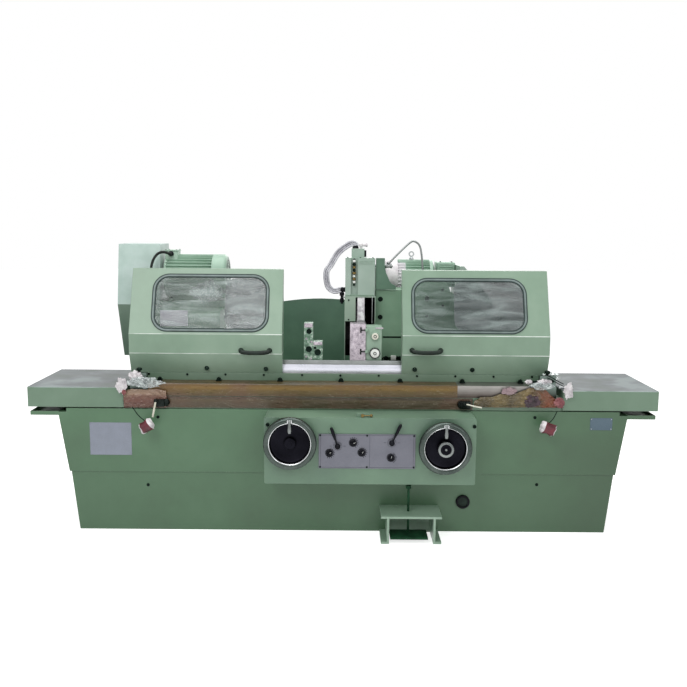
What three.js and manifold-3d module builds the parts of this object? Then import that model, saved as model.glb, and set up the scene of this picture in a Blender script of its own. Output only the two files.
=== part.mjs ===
// Universal cylindrical grinding machine of the 1500 mm class, in millimetres.
// +X runs to the right along the table, +Y to the rear and +Z up.
// The origin lies on the floor, under the middle of the front bed.

import * as THREE from 'three';
import { mergeVertices } from 'three/addons/utils/BufferGeometryUtils.js';
import Module from 'manifold-3d';

const wasm = await Module();
wasm.setup();

// Fits shared by all pieces
const seatGap = 0.3;
const runningGap = 0.5;
const joinDepth = 2;
const cutOverrun = 12;

// Bed
const bedTopHalf = 1628;
const bedFootTaper = 103;
const bedWaistTaper = 63;
const bedFrontY = -300;
const bedBackY = 300;
const bedStepHeight = 348;
const bedStepInset = 8;
const bedHeight = 696;
const deckInset = 48;
const deckRise = 22;
const wayInset = 68;
const veeWayY = -150;
const veeWayFoot = 34;
const veeWayCrest = 7;
const veeWayRise = 28;
const flatWayY = 150;
const flatWayHalf = 30;
const flatWayRise = 20;

// Rear bed, which carries the wheelhead
const rearBedLeft = -480;
const rearBedRight = 860;
const rearBedBack = 1180;
const rearBedRise = 4;
const rearWayFront = 380;
const rearWayBack = 1165;
const rearVeeX = 330;
const rearFlatX = 660;

// Drip trays at the bed ends
const trayLength = 162;
const trayRim = 23;
const trayWall = 4;

// Front apron with its control plate
const apronLeft = -433;
const apronRight = 734;
const apronFrontY = -500;
const apronHeight = 374;
const apronEdge = 10;
const plateLeft = -132;
const plateRight = 400;
const plateTopDrop = 89;
const plateHeight = 194;
const plateThick = 5;

// Handwheels
const tableWheelX = -288;
const tableWheelDrop = 133;
const infeedWheelX = 560;
const infeedWheelDrop = 154;
const wheelRimRadius = 146;
const wheelDishRadius = 112;
const wheelRimDepth = 44;
const wheelStandOff = 28;
const wheelWebThick = 9;
const wheelHubRadius = 34;
const wheelShaftRadius = 15;
const wheelShaftDepth = 60;
const dialRadius = 92;
const fineKnobRadius = 43;
const fineKnobDepth = 22;
const finePinRadius = 8;
const finePinDepth = 20;
const gripPivotRadius = 128;
const gripLength = 66;
const gripRadius = 11;
const gripEyeRadius = 9;
const gripEyeHalf = 7;
const gripEarThick = 6;

// Levers, knobs and the reversing lever of the apron
const traverseLeverX = -28;
const traverseLeverDrop = 157;
const traverseLeverLean = -33;
const approachLeverX = 270;
const approachLeverDrop = 136;
const approachLeverLean = 44;
const leverRise = 100;
const leverHubRadius = 15;
const leverHubDepth = 26;
const leverStemRadius = 5;
const leverBallRadius = 13;
const leverShaftRadius = 7;
const leverShaftDepth = 30;
const leftDwellX = -73;
const leftDwellDrop = 196;
const speedKnobX = 57;
const speedKnobDrop = 137;
const rightDwellX = 105;
const rightDwellDrop = 192;
const pumpSwitchX = 266;
const pumpSwitchDrop = 220;
const knobRadius = 19;
const knobDepth = 12;
const knobBarDepth = 12;
const knobShaftRadius = 5;
const knobShaftDepth = 20;
const reverseLeverX = 108;
const reverseBlockHalf = 34;
const reverseBlockDepth = 34;
const reverseBlockSetback = 22;
const reverseBlockRise = 20;
const reverseLeverRadius = 9;
const reverseLeverLength = 48;
const reversePinRadius = 5;

// Foot pedal in its guard box
const pedalBoxLeft = 217;
const pedalBoxRight = 556;
const pedalBoxHeight = 158;
const pedalBoxWall = 12;
const pedalBoxFlange = 34;
const pedalHalfWidth = 106;
const pedalFloor = 26;
const pedalThick = 11;
const pedalX = 375;
const pedalRodY = -400;
const pedalRodRadius = 7;
const pedalRodReach = 28;
const pedalCollarDrop = 52;
const pedalCollarRadius = 15;
const pedalCollarHeight = 18;

// Oil gauge on the bed front
const gaugeX = 698;
const gaugeZ = 181;
const gaugeRadius = 40;
const gaugeDepth = 16;
const gaugeGlassRadius = 29;
const gaugeRecess = 7;

// Lower table and its covers
const lowerTableHalf = 1251.7;
const tableFrontY = -290;
const tableBackY = 290;
const lowerTableLift = 2;
const lowerTableHeight = 72;
const dogSlotHeight = 14;
const dogSlotDepth = 12;
const dogSlotRise = 24;
const swivelPinRadius = 30;
const swivelPinRise = 24;
const coverOverhang = 170;
const coverLift = 7;
const coverHeight = 115;
const coverWall = 6;
const coverWayClear = 4;

// Table dogs and reversing stops
const leftDogSetback = 206.7;
const rightDogSetback = 556.7;
const dogHalf = 30;
const dogHeight = 44;
const dogDepth = 34;
const dogLeverRadius = 5;
const leftDogLever = { start: -25, lean: -12, drop: 84 };
const rightDogLever = { start: 2, lean: 62, drop: 20 };

// Upper, swivelling table
const upperTableShortfall = 14.7;
const upperTableCorner = 22;
const upperLedgeHeight = 70;
const upperTableHeight = 112.7;
const upperLedgeDepth = 138;
const topFaceBackY = 95;
const troughFloor = 30;
const troughLip = 68;
const troughWall = 14;
const endClampSetback = 72;
const endClampHalf = 45;
const endClampHeight = 62;
const endClampDepth = 40;

// Protective paper on the table fronts
const wrapThick = 2;
const wrapSetback = 125;
const wrapRight = 652;
const wrapPastDog = 15;
const wrapTopDepth = 62;
const wrapMargin = 4;

// Hood rail and the two sliding hoods
const railSetback = 47;
const railThick = 12;
const hoodSheet = 3;
const leftHoodRight = -355;
const rightHoodLeft = 340;
const hoodBulge = 45;
const hoodCreaseRise = 119;
const hoodBendRise = 232;
const hoodTopRise = 600;
const hoodTopSetback = 105;
const hoodFlange = 50;
const leftWindowSetback = 115;
const leftWindowRight = -424;
const rightWindowLeft = 391;
const rightWindowSetback = 121;
const windowMargin = 20;
const windowCorner = 90;
const sealWidth = 15;
const sealThick = 12;
const glassThick = 4;
const handleLength = 186;
const handleRadius = 11;
const handleReach = 36;
const handleRise = 45;
const leftHandleX = -508;
const rightHandleX = 516;

// Work axis and headstock
const centreHeight = 180;
const headSetback = 125;
const headLength = 392;
const headFrontY = -135;
const headBackY = 130;
const headBaseHeight = 40;
const headBaseMargin = 14;
const headTopRise = 357;
const headShoulder = 40;
const motorShelfRise = 395;
const motorShelfThick = 38;
const motorShelfBack = 350;
const spindleRadius = 45;
const spindleDepth = 270;
const spindleFlange = 62;
const plateOffset = 20;
const driverRadius = 80;
const driverThick = 40;
const driverPinRadius = 8;
const driverPinReach = 36;
const driverPinOrbit = 58;
const centreRadius = 18;
const centreReach = 60;
const headMotorY = 210;
const headMotorRise = 540;
const headMotorInset = 12;
const headMotorLength = 300;
const headMotorRadius = 118;
const headMotorFin = 18;
const headFinCount = 12;
const headCowlLength = 86;
const headMotorFoot = 12;
const terminalLength = 74;
const terminalRise = 44;
const inputShaftY = 245;
const gearboxHalf = 62;
const gearboxLength = 210;

// Headstock belt drive and its guard
const headGuardWidth = 252.7;
const guardTopRise = 737;
const guardTopY = 125;
const guardKneeRise = 376;
const guardKneeY = 60;
const guardBottomRise = 46;
const guardBottomY = 190;
const guardBackY = 375;
const guardWall = 4;
const headPulleyInset = 45;
const headPulleyWidth = 60;
const headMotorPulley = 50;
const headInputPulley = 75;
const headShaftRadius = 14;
const beltThick = 8;

// Motor cable, held at both ends
const cableRadius = 8;

// Tailstock
const tailSetback = 127;
const tailLength = 320;
const tailHalf = 72;
const tailBaseHalf = 96;
const tailBaseHeight = 42;
const tailTopRise = 329;
const tailShoulder = 26;
const tailNoseRadius = 52;
const tailNoseLength = 26;
const quillRadius = 32;
const quillOut = 58;
const quillDepth = 180;
const quillStroke = 30;
const quillCentreLength = 46;
const tailLeverInset = 54;
const tailLeverRise = 258;
const tailLeverHub = 22;
const tailLeverHubDepth = 26;
const tailLeverLength = 196;
const tailLeverRadius = 8;

// Two-jaw rest
const restLeft = -231;
const restMiddle = -178;
const restRight = -122;
const restFrontY = -130;
const restDepth = 62;
const restTallRise = 293;
const restShortRise = 185;
const restFootBack = 52;
const restFootHeight = 26;
const jawRadius = 11;
const jawTipGap = 26;

// Rest with two dials
const dialRestLeft = 38;
const dialRestMiddle = 130;
const dialRestRight = 224;
const dialRestFrontY = -136;
const dialRestDepth = 96;
const dialRestHeight = 289;
const dialStep = 12;
const dialX = 184;
const upperDialRise = 218;
const upperDialRadius = 25;
const lowerDialRise = 118;
const lowerDialRadius = 32;
const dialDepth = 24;
const dialPinRadius = 8;
const dialPinDepth = 26;

// Wheelhead
const wheelAxisY = 350;
const grindingRadius = 200;
const grindingLeft = 80;
const grindingWidth = 50;
const flangeRadius = 78;
const flangeThick = 18;
const wheelheadLeft = 195;
const wheelheadRight = 725;
const wheelheadFrontY = 200;
const wheelheadBackY = 900;
const wheelheadBottomDrop = 135;
const wheelheadTopRise = 285;
const wheelheadCorner = 110;
const wheelheadEdge = 14;
const rearTopRise = 185;
const rearTopY = 430;
const wheelSpindleRadius = 38;
const slideFrontY = 480;
const slideBackY = 1050;
const slideLeft = 225;
const slideRight = 765;
const turntableHeight = 51.7;
const turntableRadius = 205;
const turntableY = 640;
const turntableX = 455;
const pivotPinRadius = 36;
const pivotPinRise = 30;

// Wheel guard and the box on it
const wheelGuardLeft = 5;
const wheelGuardRadius = 247;
const wheelGuardWall = 5;
const wheelGuardFrontY = 138;
const wheelGuardStripRight = 72;
const wheelGuardStripDrop = 152;
const wheelGuardBackY = 215;
const wheelGuardBottomDrop = 175;
const spindleNoseRadius = 62;
const guardBoxLeft = 8;
const guardBoxFrontY = 165;
const guardBoxDepth = 165;
const guardBoxHeight = 234;
const guardBoxGrooveLeft = 42;
const guardBoxGrooveRight = 86;
const guardBoxGrooveDepth = 26;
const guardCapLeft = 46;
const guardCapRight = 124;
const guardCapHeight = 56;
const guardCapDepth = 90;
const shoulderRight = 262;
const shoulderWaist = 240;
const shoulderHeight = 174;

// Wheelhead motor, belt drive and belt guard
const wheelMotorLeft = 270;
const wheelMotorLength = 292;
const wheelMotorY = 600;
const wheelMotorRadius = 112;
const wheelMotorFin = 18;
const wheelMotorFinCount = 12;
const wheelMotorBell = 20;
const wheelMotorCowl = 78;
const wheelMotorFoot = 14;
const wheelBeltLeft = 737;
const wheelPulleyWidth = 46;
const wheelSpindlePulley = 60;
const wheelMotorPulley = 40;
const beltGuardRight = 935;
const beltGuardFrontY = 270;
const beltGuardBackY = 705;
const beltGuardTopRise = 430;
const beltGuardKneeRise = 212;
const beltGuardTopWidth = 24;

// Coolant pipe, valve and hose
const pipeRadius = 7;
const pipeFootX = 492;
const pipeY = 262;
const valveX = 276;
const valveRadius = 14;
const valveLength = 40;
const hoseRadius = 12;
const hoseY = 205;

// Rear splash guard
const splashLeft = -450;
const splashRight = 148;
const splashY = 740;
const splashThick = 4;
const splashSideHeight = 540;
const splashArch = 28;
const splashFoot = 60;

// Places along the table that follow from its length
const upperTableHalf = lowerTableHalf - upperTableShortfall;
const endClampX = upperTableHalf - endClampSetback;
const wrapLeft = -upperTableHalf + wrapSetback;
const railRightX = upperTableHalf - railSetback;
const leftHoodLeft = -upperTableHalf;
const rightHoodRight = railRightX;
const leftWindowLeft = leftHoodLeft + leftWindowSetback;
const rightWindowRight = rightHoodRight - rightWindowSetback;
const headLeft = -upperTableHalf + headSetback;
const headRight = headLeft + headLength;
const headMotorLeft = headLeft + headMotorInset;
const headGuardRight = headLeft - seatGap;
const guardOuterLeft = headGuardRight - headGuardWidth;
const headPulleyLeft = guardOuterLeft + headPulleyInset;
const tailRight = upperTableHalf - tailSetback;
const tailLeft = tailRight - tailLength;
const tailLeverX = tailRight - tailLeverInset;
const leftDogX = -lowerTableHalf + leftDogSetback;
const rightDogX = lowerTableHalf - rightDogSetback;
const lowerWrapRight = rightDogX + dogHalf + wrapPastDog;

// Heights and places that follow from the values above
const coverOuterHalf = bedTopHalf + coverOverhang;
const deckZ = bedHeight + deckRise;
const rearBedHeight = bedHeight + rearBedRise;
const lowerTableBottom = deckZ + lowerTableLift;
const lowerTableTop = lowerTableBottom + lowerTableHeight;
const upperTableBottom = lowerTableTop + seatGap;
const ledgeZ = upperTableBottom + upperLedgeHeight;
const tableTop = upperTableBottom + upperTableHeight;
const ledgeBackY = tableFrontY + upperLedgeDepth;
const axisZ = tableTop + centreHeight;
const onTable = tableTop + seatGap;
const plateFrontY = apronFrontY - seatGap - plateThick;
const apronBottom = deckZ - apronHeight;
const plateTop = deckZ - plateTopDrop;
const plateBottom = plateTop - plateHeight;
const tableWheelZ = deckZ - tableWheelDrop;
const infeedWheelZ = deckZ - infeedWheelDrop;
const traverseLeverZ = deckZ - traverseLeverDrop;
const approachLeverZ = deckZ - approachLeverDrop;
const leftDwellZ = deckZ - leftDwellDrop;
const speedKnobZ = deckZ - speedKnobDrop;
const rightDwellZ = deckZ - rightDwellDrop;
const pumpSwitchZ = deckZ - pumpSwitchDrop;
const pedalRodTop = apronBottom + pedalRodReach;
const pedalCollarZ = apronBottom - pedalCollarDrop;
const grindingRight = grindingLeft + grindingWidth;
const wheelheadBottom = axisZ - wheelheadBottomDrop;
const wheelheadTop = axisZ + wheelheadTopRise;
const rearTop = axisZ + rearTopRise;
const guardTopZ = axisZ + wheelGuardRadius;
const wheelMotorZ = rearTop + seatGap + wheelMotorFoot + wheelMotorRadius + wheelMotorFin;
const headMotorZ = tableTop + headMotorRise;

// Materials
function paint(color, roughness, metalness) {
  return new THREE.MeshStandardMaterial({ color, roughness, metalness, flatShading: true });
}

const greenPaint = paint(0x86a58c, 0.5, 0.1);
const darkGreenPaint = paint(0x44604e, 0.55, 0.1);
const castGreenPaint = paint(0x8aa590, 0.6, 0.1);
const platePaint = paint(0xa9bfb8, 0.45, 0.3);
const groundSteel = paint(0xb9bdbb, 0.35, 0.9);
const chromeSteel = paint(0xd5d8da, 0.15, 1);
const blackPlastic = paint(0x17191a, 0.4, 0);
const blackRubber = paint(0x1b1e1f, 0.8, 0);
const clearGlass = paint(0xb9cdc8, 0.08, 0);
const amberPaper = paint(0x8a6a3c, 0.6, 0);
const pinkPaper = paint(0x9b7f72, 0.6, 0);
const abrasive = paint(0xd9d6d2, 0.95, 0);
const greyHose = paint(0xd7d9da, 0.5, 0);
const redKnob = paint(0xa3232b, 0.4, 0);

// Outlines
function arc(cx, cy, radius, fromDegrees, toDegrees, steps) {
  const points = [];
  for (let i = 0; i <= steps; i += 1) {
    const angle = THREE.MathUtils.degToRad(fromDegrees + (toDegrees - fromDegrees) * i / steps);
    points.push([cx + radius * Math.cos(angle), cy + radius * Math.sin(angle)]);
  }
  return points;
}

function circle(cx, cy, radius, sides) {
  return arc(cx, cy, radius, 0, 360, sides).slice(1);
}

function rectangle(x0, x1, y0, y1) {
  return [[x0, y0], [x1, y0], [x1, y1], [x0, y1]];
}

function roundedRectangle(x0, x1, y0, y1, radius, steps) {
  return [
    ...arc(x1 - radius, y0 + radius, radius, -90, 0, steps),
    ...arc(x1 - radius, y1 - radius, radius, 0, 90, steps),
    ...arc(x0 + radius, y1 - radius, radius, 90, 180, steps),
    ...arc(x0 + radius, y0 + radius, radius, 180, 270, steps),
  ];
}

// A convex outline, counter-clockwise, drawn in by the same distance on every side.
function inset(outline, distance) {
  const count = outline.length;
  const sides = outline.map((point, i) => {
    const next = outline[(i + 1) % count];
    const length = Math.hypot(next[0] - point[0], next[1] - point[1]);
    const along = [(next[0] - point[0]) / length, (next[1] - point[1]) / length];
    return { from: [point[0] - along[1] * distance, point[1] + along[0] * distance], along };
  });
  return sides.map((side, i) => {
    const before = sides[(i + count - 1) % count];
    const cross = before.along[0] * side.along[1] - before.along[1] * side.along[0];
    const dx = side.from[0] - before.from[0];
    const dy = side.from[1] - before.from[1];
    const reach = (dx * side.along[1] - dy * side.along[0]) / cross;
    return [before.from[0] + before.along[0] * reach, before.from[1] + before.along[1] * reach];
  });
}

// The outline of a belt round two pulleys. Its corners lie outside both circles.
function beltOutline(a, radiusA, b, radiusB, steps) {
  const direction = THREE.MathUtils.radToDeg(Math.atan2(b[1] - a[1], b[0] - a[0]));
  const distance = Math.hypot(b[0] - a[0], b[1] - a[1]);
  const spread = THREE.MathUtils.radToDeg(Math.acos((radiusA - radiusB) / distance));
  const clearOf = (sweep) => 1 / Math.cos(THREE.MathUtils.degToRad(sweep / steps / 2));
  const wrapA = radiusA * clearOf(360 - spread * 2);
  const wrapB = radiusB * clearOf(spread * 2);
  return [
    ...arc(a[0], a[1], wrapA, direction + spread, direction + 360 - spread, steps),
    ...arc(b[0], b[1], wrapB, direction - spread, direction + spread, steps),
  ];
}

// A round outline with fins, as on a motor housing.
function finnedOutline(cx, cy, radius, fin, count) {
  const points = [];
  const finShares = [[0.1, 0], [0.3, 1], [0.6, 1], [0.8, 0]];
  for (let i = 0; i < count; i += 1) {
    for (const [turnShare, finShare] of finShares) {
      const angle = (i + turnShare) / count * 2 * Math.PI;
      const reach = radius + fin * finShare;
      points.push([cx + reach * Math.cos(angle), cy + reach * Math.sin(angle)]);
    }
  }
  return points;
}

// Solids
function shapeOf(outline) {
  return new THREE.Shape(outline.map(([x, y]) => new THREE.Vector2(x, y)));
}

function extrude(outline, depth) {
  return new THREE.ExtrudeGeometry(shapeOf(outline), { depth, bevelEnabled: false });
}

function alongX(outline, x0, x1) {
  const turn = new THREE.Matrix4().makeBasis(
    new THREE.Vector3(0, 1, 0), new THREE.Vector3(0, 0, 1), new THREE.Vector3(1, 0, 0));
  return extrude(outline, x1 - x0).applyMatrix4(turn).translate(x0, 0, 0);
}

function alongY(outline, y0, y1) {
  const turn = new THREE.Matrix4().makeBasis(
    new THREE.Vector3(1, 0, 0), new THREE.Vector3(0, 0, 1), new THREE.Vector3(0, -1, 0));
  return extrude(outline, y1 - y0).applyMatrix4(turn).translate(0, y1, 0);
}

function alongZ(outline, z0, z1) {
  return extrude(outline, z1 - z0).translate(0, 0, z0);
}

function block(x0, x1, y0, y1, z0, z1) {
  const box = new THREE.BoxGeometry(x1 - x0, y1 - y0, z1 - z0);
  return box.translate((x0 + x1) / 2, (y0 + y1) / 2, (z0 + z1) / 2);
}

// A turned solid: the profile holds radius and place along the axis.
function turned(axis, profile, sides) {
  const lathe = new THREE.LatheGeometry(profile.map(([r, a]) => new THREE.Vector2(r, a)), sides);
  if (axis === 'x') {
    lathe.rotateZ(-Math.PI / 2);
  }
  if (axis === 'z') {
    lathe.rotateX(Math.PI / 2);
  }
  return lathe;
}

function rod(axis, radius, from, to, sides) {
  return turned(axis, [[0, from], [radius, from], [radius, to], [0, to]], sides);
}

// A faceted bore whose flats, not its corners, stand at the given radius.
function bore(axis, radius, from, to, sides) {
  return rod(axis, radius / Math.cos(Math.PI / sides), from, to, sides);
}

// A straight bar between two points.
function bar(from, to, radius, sides) {
  const start = new THREE.Vector3(...from);
  const span = new THREE.Vector3(...to).sub(start);
  const lathe = rod('y', radius, 0, span.length(), sides);
  const turn = new THREE.Quaternion().setFromUnitVectors(new THREE.Vector3(0, 1, 0), span.normalize());
  return lathe.applyQuaternion(turn).translate(start.x, start.y, start.z);
}

function tube(points, radius, sides, steps) {
  const path = new THREE.CatmullRomCurve3(points.map((point) => new THREE.Vector3(...point)));
  const section = shapeOf(circle(0, 0, radius, sides));
  return new THREE.ExtrudeGeometry(section, { steps, bevelEnabled: false, extrudePath: path });
}

// Booleans
function toSolid(geometry) {
  const bare = geometry.clone();
  bare.deleteAttribute('normal');
  bare.deleteAttribute('uv');
  const merged = mergeVertices(bare);
  const place = merged.attributes.position.array;
  const index = merged.index.array;
  const faces = [];
  let volume = 0;
  for (let i = 0; i < index.length; i += 3) {
    const [a, b, c] = [index[i], index[i + 1], index[i + 2]];
    if (a !== b && b !== c && c !== a) {
      faces.push([a, b, c]);
      const [p, q, r] = [a, b, c].map((v) => new THREE.Vector3().fromArray(place, v * 3));
      volume += p.dot(q.cross(r));
    }
  }
  const triangles = faces.flatMap(([a, b, c]) => (volume > 0 ? [a, b, c] : [a, c, b]));
  return new wasm.Manifold(new wasm.Mesh({
    numProp: 3,
    vertProperties: new Float32Array(place),
    triVerts: new Uint32Array(triangles),
  }));
}

function toGeometry(solid) {
  const mesh = solid.getMesh();
  const geometry = new THREE.BufferGeometry();
  geometry.setAttribute('position', new THREE.BufferAttribute(mesh.vertProperties, 3));
  geometry.setIndex(new THREE.BufferAttribute(mesh.triVerts, 1));
  geometry.computeVertexNormals();
  return geometry;
}

function join(...pieces) {
  return toGeometry(pieces.map(toSolid).reduce((whole, piece) => whole.add(piece)));
}

function cut(base, ...tools) {
  return toGeometry(tools.map(toSolid).reduce((whole, tool) => whole.subtract(tool), toSolid(base)));
}

function common(a, b) {
  return toGeometry(toSolid(a).intersect(toSolid(b)));
}

function piece(name, geometry, material, place = [0, 0, 0]) {
  const mesh = new THREE.Mesh(toGeometry(toSolid(geometry)), material.clone());
  mesh.name = name;
  mesh.position.set(...place);
  return mesh;
}

// Bed with the ways for the table and for the wheelhead
function veeOutline(centre, base, grow, lift) {
  const crest = veeWayCrest + grow;
  const foot = veeWayFoot + grow;
  return [
    [centre - foot, base - joinDepth],
    [centre + foot, base - joinDepth],
    [centre + foot, base + lift],
    [centre + crest, base + veeWayRise + lift],
    [centre - crest, base + veeWayRise + lift],
    [centre - foot, base + lift],
  ];
}

function flatOutline(centre, base, grow, lift) {
  const half = flatWayHalf + grow;
  return rectangle(centre - half, centre + half, base - joinDepth, base + flatWayRise + lift);
}

function bed() {
  const footHalf = bedTopHalf - bedFootTaper;
  const waistHalf = bedTopHalf - bedWaistTaper;
  const footOutline = [
    [-footHalf, 0],
    [footHalf, 0],
    [waistHalf, bedStepHeight + joinDepth],
    [-waistHalf, bedStepHeight + joinDepth],
  ];
  const upperWaist = waistHalf + bedStepInset;
  const deckHalf = bedTopHalf - deckInset;
  const wayHalf = bedTopHalf - wayInset;
  const upperOutline = [
    [-upperWaist, bedStepHeight],
    [upperWaist, bedStepHeight],
    [bedTopHalf, bedHeight],
    [-bedTopHalf, bedHeight],
  ];
  return join(
    alongY(footOutline, bedFrontY + bedStepInset, bedBackY),
    alongY(upperOutline, bedFrontY, bedBackY),
    block(-deckHalf, deckHalf, bedFrontY, bedBackY, bedHeight - joinDepth, deckZ),
    alongX(veeOutline(veeWayY, deckZ, 0, 0), -wayHalf, wayHalf),
    alongX(flatOutline(flatWayY, deckZ, 0, 0), -wayHalf, wayHalf),
    block(rearBedLeft, rearBedRight, bedBackY - joinDepth, rearBedBack, 0, rearBedHeight),
    alongY(veeOutline(rearVeeX, rearBedHeight, 0, 0), rearWayFront, rearWayBack),
    alongY(flatOutline(rearFlatX, rearBedHeight, 0, 0), rearWayFront, rearWayBack),
    dripTray(-1),
    dripTray(1),
  );
}

// Drip tray cast on to the end of the bed
function dripTray(side) {
  const inner = bedTopHalf - trayWall;
  const x0 = side > 0 ? inner : -inner - trayLength;
  const x1 = x0 + trayLength;
  const bottom = bedHeight + trayWall - trayRim;
  return cut(
    block(x0, x1, bedFrontY, bedBackY, bottom, bottom + trayRim),
    block(x0 + trayWall, x1 - trayWall, bedFrontY + trayWall, bedBackY - trayWall,
      bottom + trayWall, bottom + trayRim + cutOverrun),
  );
}

// Apron and control plate, bored for every shaft that passes them
const apronShafts = [
  { x: tableWheelX, z: tableWheelZ, radius: wheelShaftRadius, depth: wheelShaftDepth },
  { x: infeedWheelX, z: infeedWheelZ, radius: wheelShaftRadius, depth: wheelShaftDepth },
];
const plateShafts = [
  { x: traverseLeverX, z: traverseLeverZ, radius: leverShaftRadius, depth: leverShaftDepth },
  { x: approachLeverX, z: approachLeverZ, radius: leverShaftRadius, depth: leverShaftDepth },
  { x: leftDwellX, z: leftDwellZ, radius: knobShaftRadius, depth: knobShaftDepth },
  { x: speedKnobX, z: speedKnobZ, radius: knobShaftRadius, depth: knobShaftDepth },
  { x: rightDwellX, z: rightDwellZ, radius: knobShaftRadius, depth: knobShaftDepth },
  { x: pumpSwitchX, z: pumpSwitchZ, radius: knobShaftRadius, depth: knobShaftDepth },
];

function shaftBore(shaft, faceY) {
  const back = faceY + shaft.depth + seatGap;
  return bore('y', shaft.radius + seatGap, faceY - cutOverrun, back, 8).translate(shaft.x, 0, shaft.z);
}

function reverseBlock() {
  return block(reverseLeverX - reverseBlockHalf, reverseLeverX + reverseBlockHalf,
    reverseBlockFrontY, reverseBlockFrontY + reverseBlockDepth,
    deckZ - joinDepth, deckZ + reverseBlockRise);
}

const reversePivotZ = deckZ + reverseBlockRise / 2;
const reverseBlockFrontY = apronFrontY + reverseBlockSetback;
const reverseFaceY = reverseBlockFrontY - seatGap;

function frontApron() {
  const outline = roundedRectangle(apronLeft, apronRight, apronBottom, deckZ, apronEdge, 3);
  const pedalBore = bore('z', pedalRodRadius + seatGap, apronBottom - cutOverrun,
    pedalRodTop + seatGap, 10).translate(pedalX, pedalRodY, 0);
  const reverseBore = bore('y', reversePinRadius + seatGap, reverseFaceY - cutOverrun,
    reverseFaceY + reverseBlockDepth, 10).translate(reverseLeverX, 0, reversePivotZ);
  return cut(
    join(alongY(outline, apronFrontY, bedFrontY - seatGap), reverseBlock()),
    ...apronShafts.map((shaft) => shaftBore(shaft, apronFrontY)),
    ...plateShafts.map((shaft) => shaftBore(shaft, plateFrontY)),
    pedalBore,
    reverseBore,
  );
}

function controlPlate() {
  const sheet = block(plateLeft, plateRight, plateFrontY, apronFrontY - seatGap, plateBottom, plateTop);
  return cut(sheet, ...plateShafts.map((shaft) => shaftBore(shaft, plateFrontY)));
}

// A handwheel about the Y axis, its zero at the apron face
function handwheel(front) {
  const rimBack = -wheelStandOff;
  const rimFront = rimBack - wheelRimDepth;
  const rimMiddle = (wheelRimRadius + wheelDishRadius) / 2;
  const rimHalf = (wheelRimRadius - wheelDishRadius) / 2;
  const profile = [
    [0, wheelShaftDepth - seatGap],
    [wheelShaftRadius, wheelShaftDepth - seatGap],
    [wheelShaftRadius, -seatGap],
    [wheelHubRadius, -seatGap],
    [wheelHubRadius, rimBack],
    [wheelDishRadius, rimBack],
    ...arc(rimMiddle, rimBack - rimHalf, rimHalf, 100, 0, 2),
    ...arc(rimMiddle, rimFront + rimHalf, rimHalf, 0, -180, 4),
    [wheelDishRadius - wheelWebThick, rimBack - wheelWebThick],
    [wheelHubRadius, rimBack - wheelWebThick],
    [wheelHubRadius, front],
    [0, front],
  ];
  return turned('y', profile, 24);
}

function gripEars() {
  return [-1, 1].map((side) => {
    const inner = gripEyeHalf + seatGap;
    const x0 = side > 0 ? inner : -inner - gripEarThick;
    return alongX([
      [-wheelStandOff - wheelRimDepth + joinDepth * 3, gripPivotRadius - gripEyeRadius],
      [-wheelStandOff - wheelRimDepth + joinDepth * 3, gripPivotRadius + gripEyeRadius],
      ...arc(gripY, gripPivotRadius, gripEyeRadius, 90, 270, 4),
    ], x0, x0 + gripEarThick);
  });
}

const gripY = -wheelStandOff - wheelRimDepth - gripEyeRadius - seatGap * 2;
const hubFrontY = -wheelStandOff - wheelRimDepth + wheelWebThick;

function tableHandwheel() {
  return join(handwheel(hubFrontY), ...gripEars());
}

function infeedHandwheel() {
  const pinBore = bore('y', finePinRadius + seatGap, hubFrontY - cutOverrun,
    hubFrontY + finePinDepth + seatGap, 12);
  const dial = rod('y', dialRadius, -wheelStandOff + seatGap, -seatGap, 24);
  return cut(join(handwheel(hubFrontY), ...gripEars(), dial), pinBore);
}

// A folded grip, its pivot at zero, lying towards the hub
function foldingGrip() {
  const eye = rod('x', gripEyeRadius, -gripEyeHalf, gripEyeHalf, 10);
  const handle = turned('z', [
    [0, -gripLength],
    [gripRadius * 0.8, -gripLength],
    [gripRadius, -gripLength * 0.75],
    [gripRadius * 0.7, -gripLength * 0.3],
    [gripEyeHalf - seatGap, -gripEyeRadius],
    [gripEyeHalf - seatGap, 0],
    [0, 0],
  ], 10);
  return join(eye, handle);
}

function fineFeedKnob() {
  const front = hubFrontY - seatGap - fineKnobDepth;
  return turned('y', [
    [0, hubFrontY + finePinDepth],
    [finePinRadius, hubFrontY + finePinDepth],
    [finePinRadius, hubFrontY - seatGap],
    [fineKnobRadius, hubFrontY - seatGap],
    [fineKnobRadius, front],
    [fineKnobRadius * 0.72, front],
    [fineKnobRadius * 0.66, front + fineKnobDepth / 3],
    [0, front + fineKnobDepth / 3],
  ], 16);
}

// Controls on the plate; their zero lies on the plate face
function lever(lean) {
  const middle = -leverHubDepth / 2;
  return join(
    turned('y', [
      [0, leverShaftDepth],
      [leverShaftRadius, leverShaftDepth],
      [leverShaftRadius, -seatGap],
      [leverHubRadius, -seatGap],
      [leverHubRadius, -leverHubDepth * 0.8],
      [leverHubRadius * 0.7, -leverHubDepth],
      [0, -leverHubDepth],
    ], 12),
    bar([0, middle, 0], [lean, middle * 1.6, leverRise], leverStemRadius, 6),
    new THREE.SphereGeometry(leverBallRadius, 8, 5).translate(lean, middle * 1.6, leverRise),
  );
}

function knob() {
  const barHalf = knobRadius * 0.24;
  return join(
    turned('y', [
      [0, knobShaftDepth],
      [knobShaftRadius, knobShaftDepth],
      [knobShaftRadius, -seatGap],
      [knobRadius, -seatGap],
      [knobRadius, -knobDepth * 0.7],
      [knobRadius * 0.86, -knobDepth],
      [0, -knobDepth],
    ], 12),
    block(-barHalf, barHalf, -knobDepth - knobBarDepth, -knobDepth + joinDepth,
      -knobRadius * 0.8, knobRadius * 0.8),
  );
}

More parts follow.
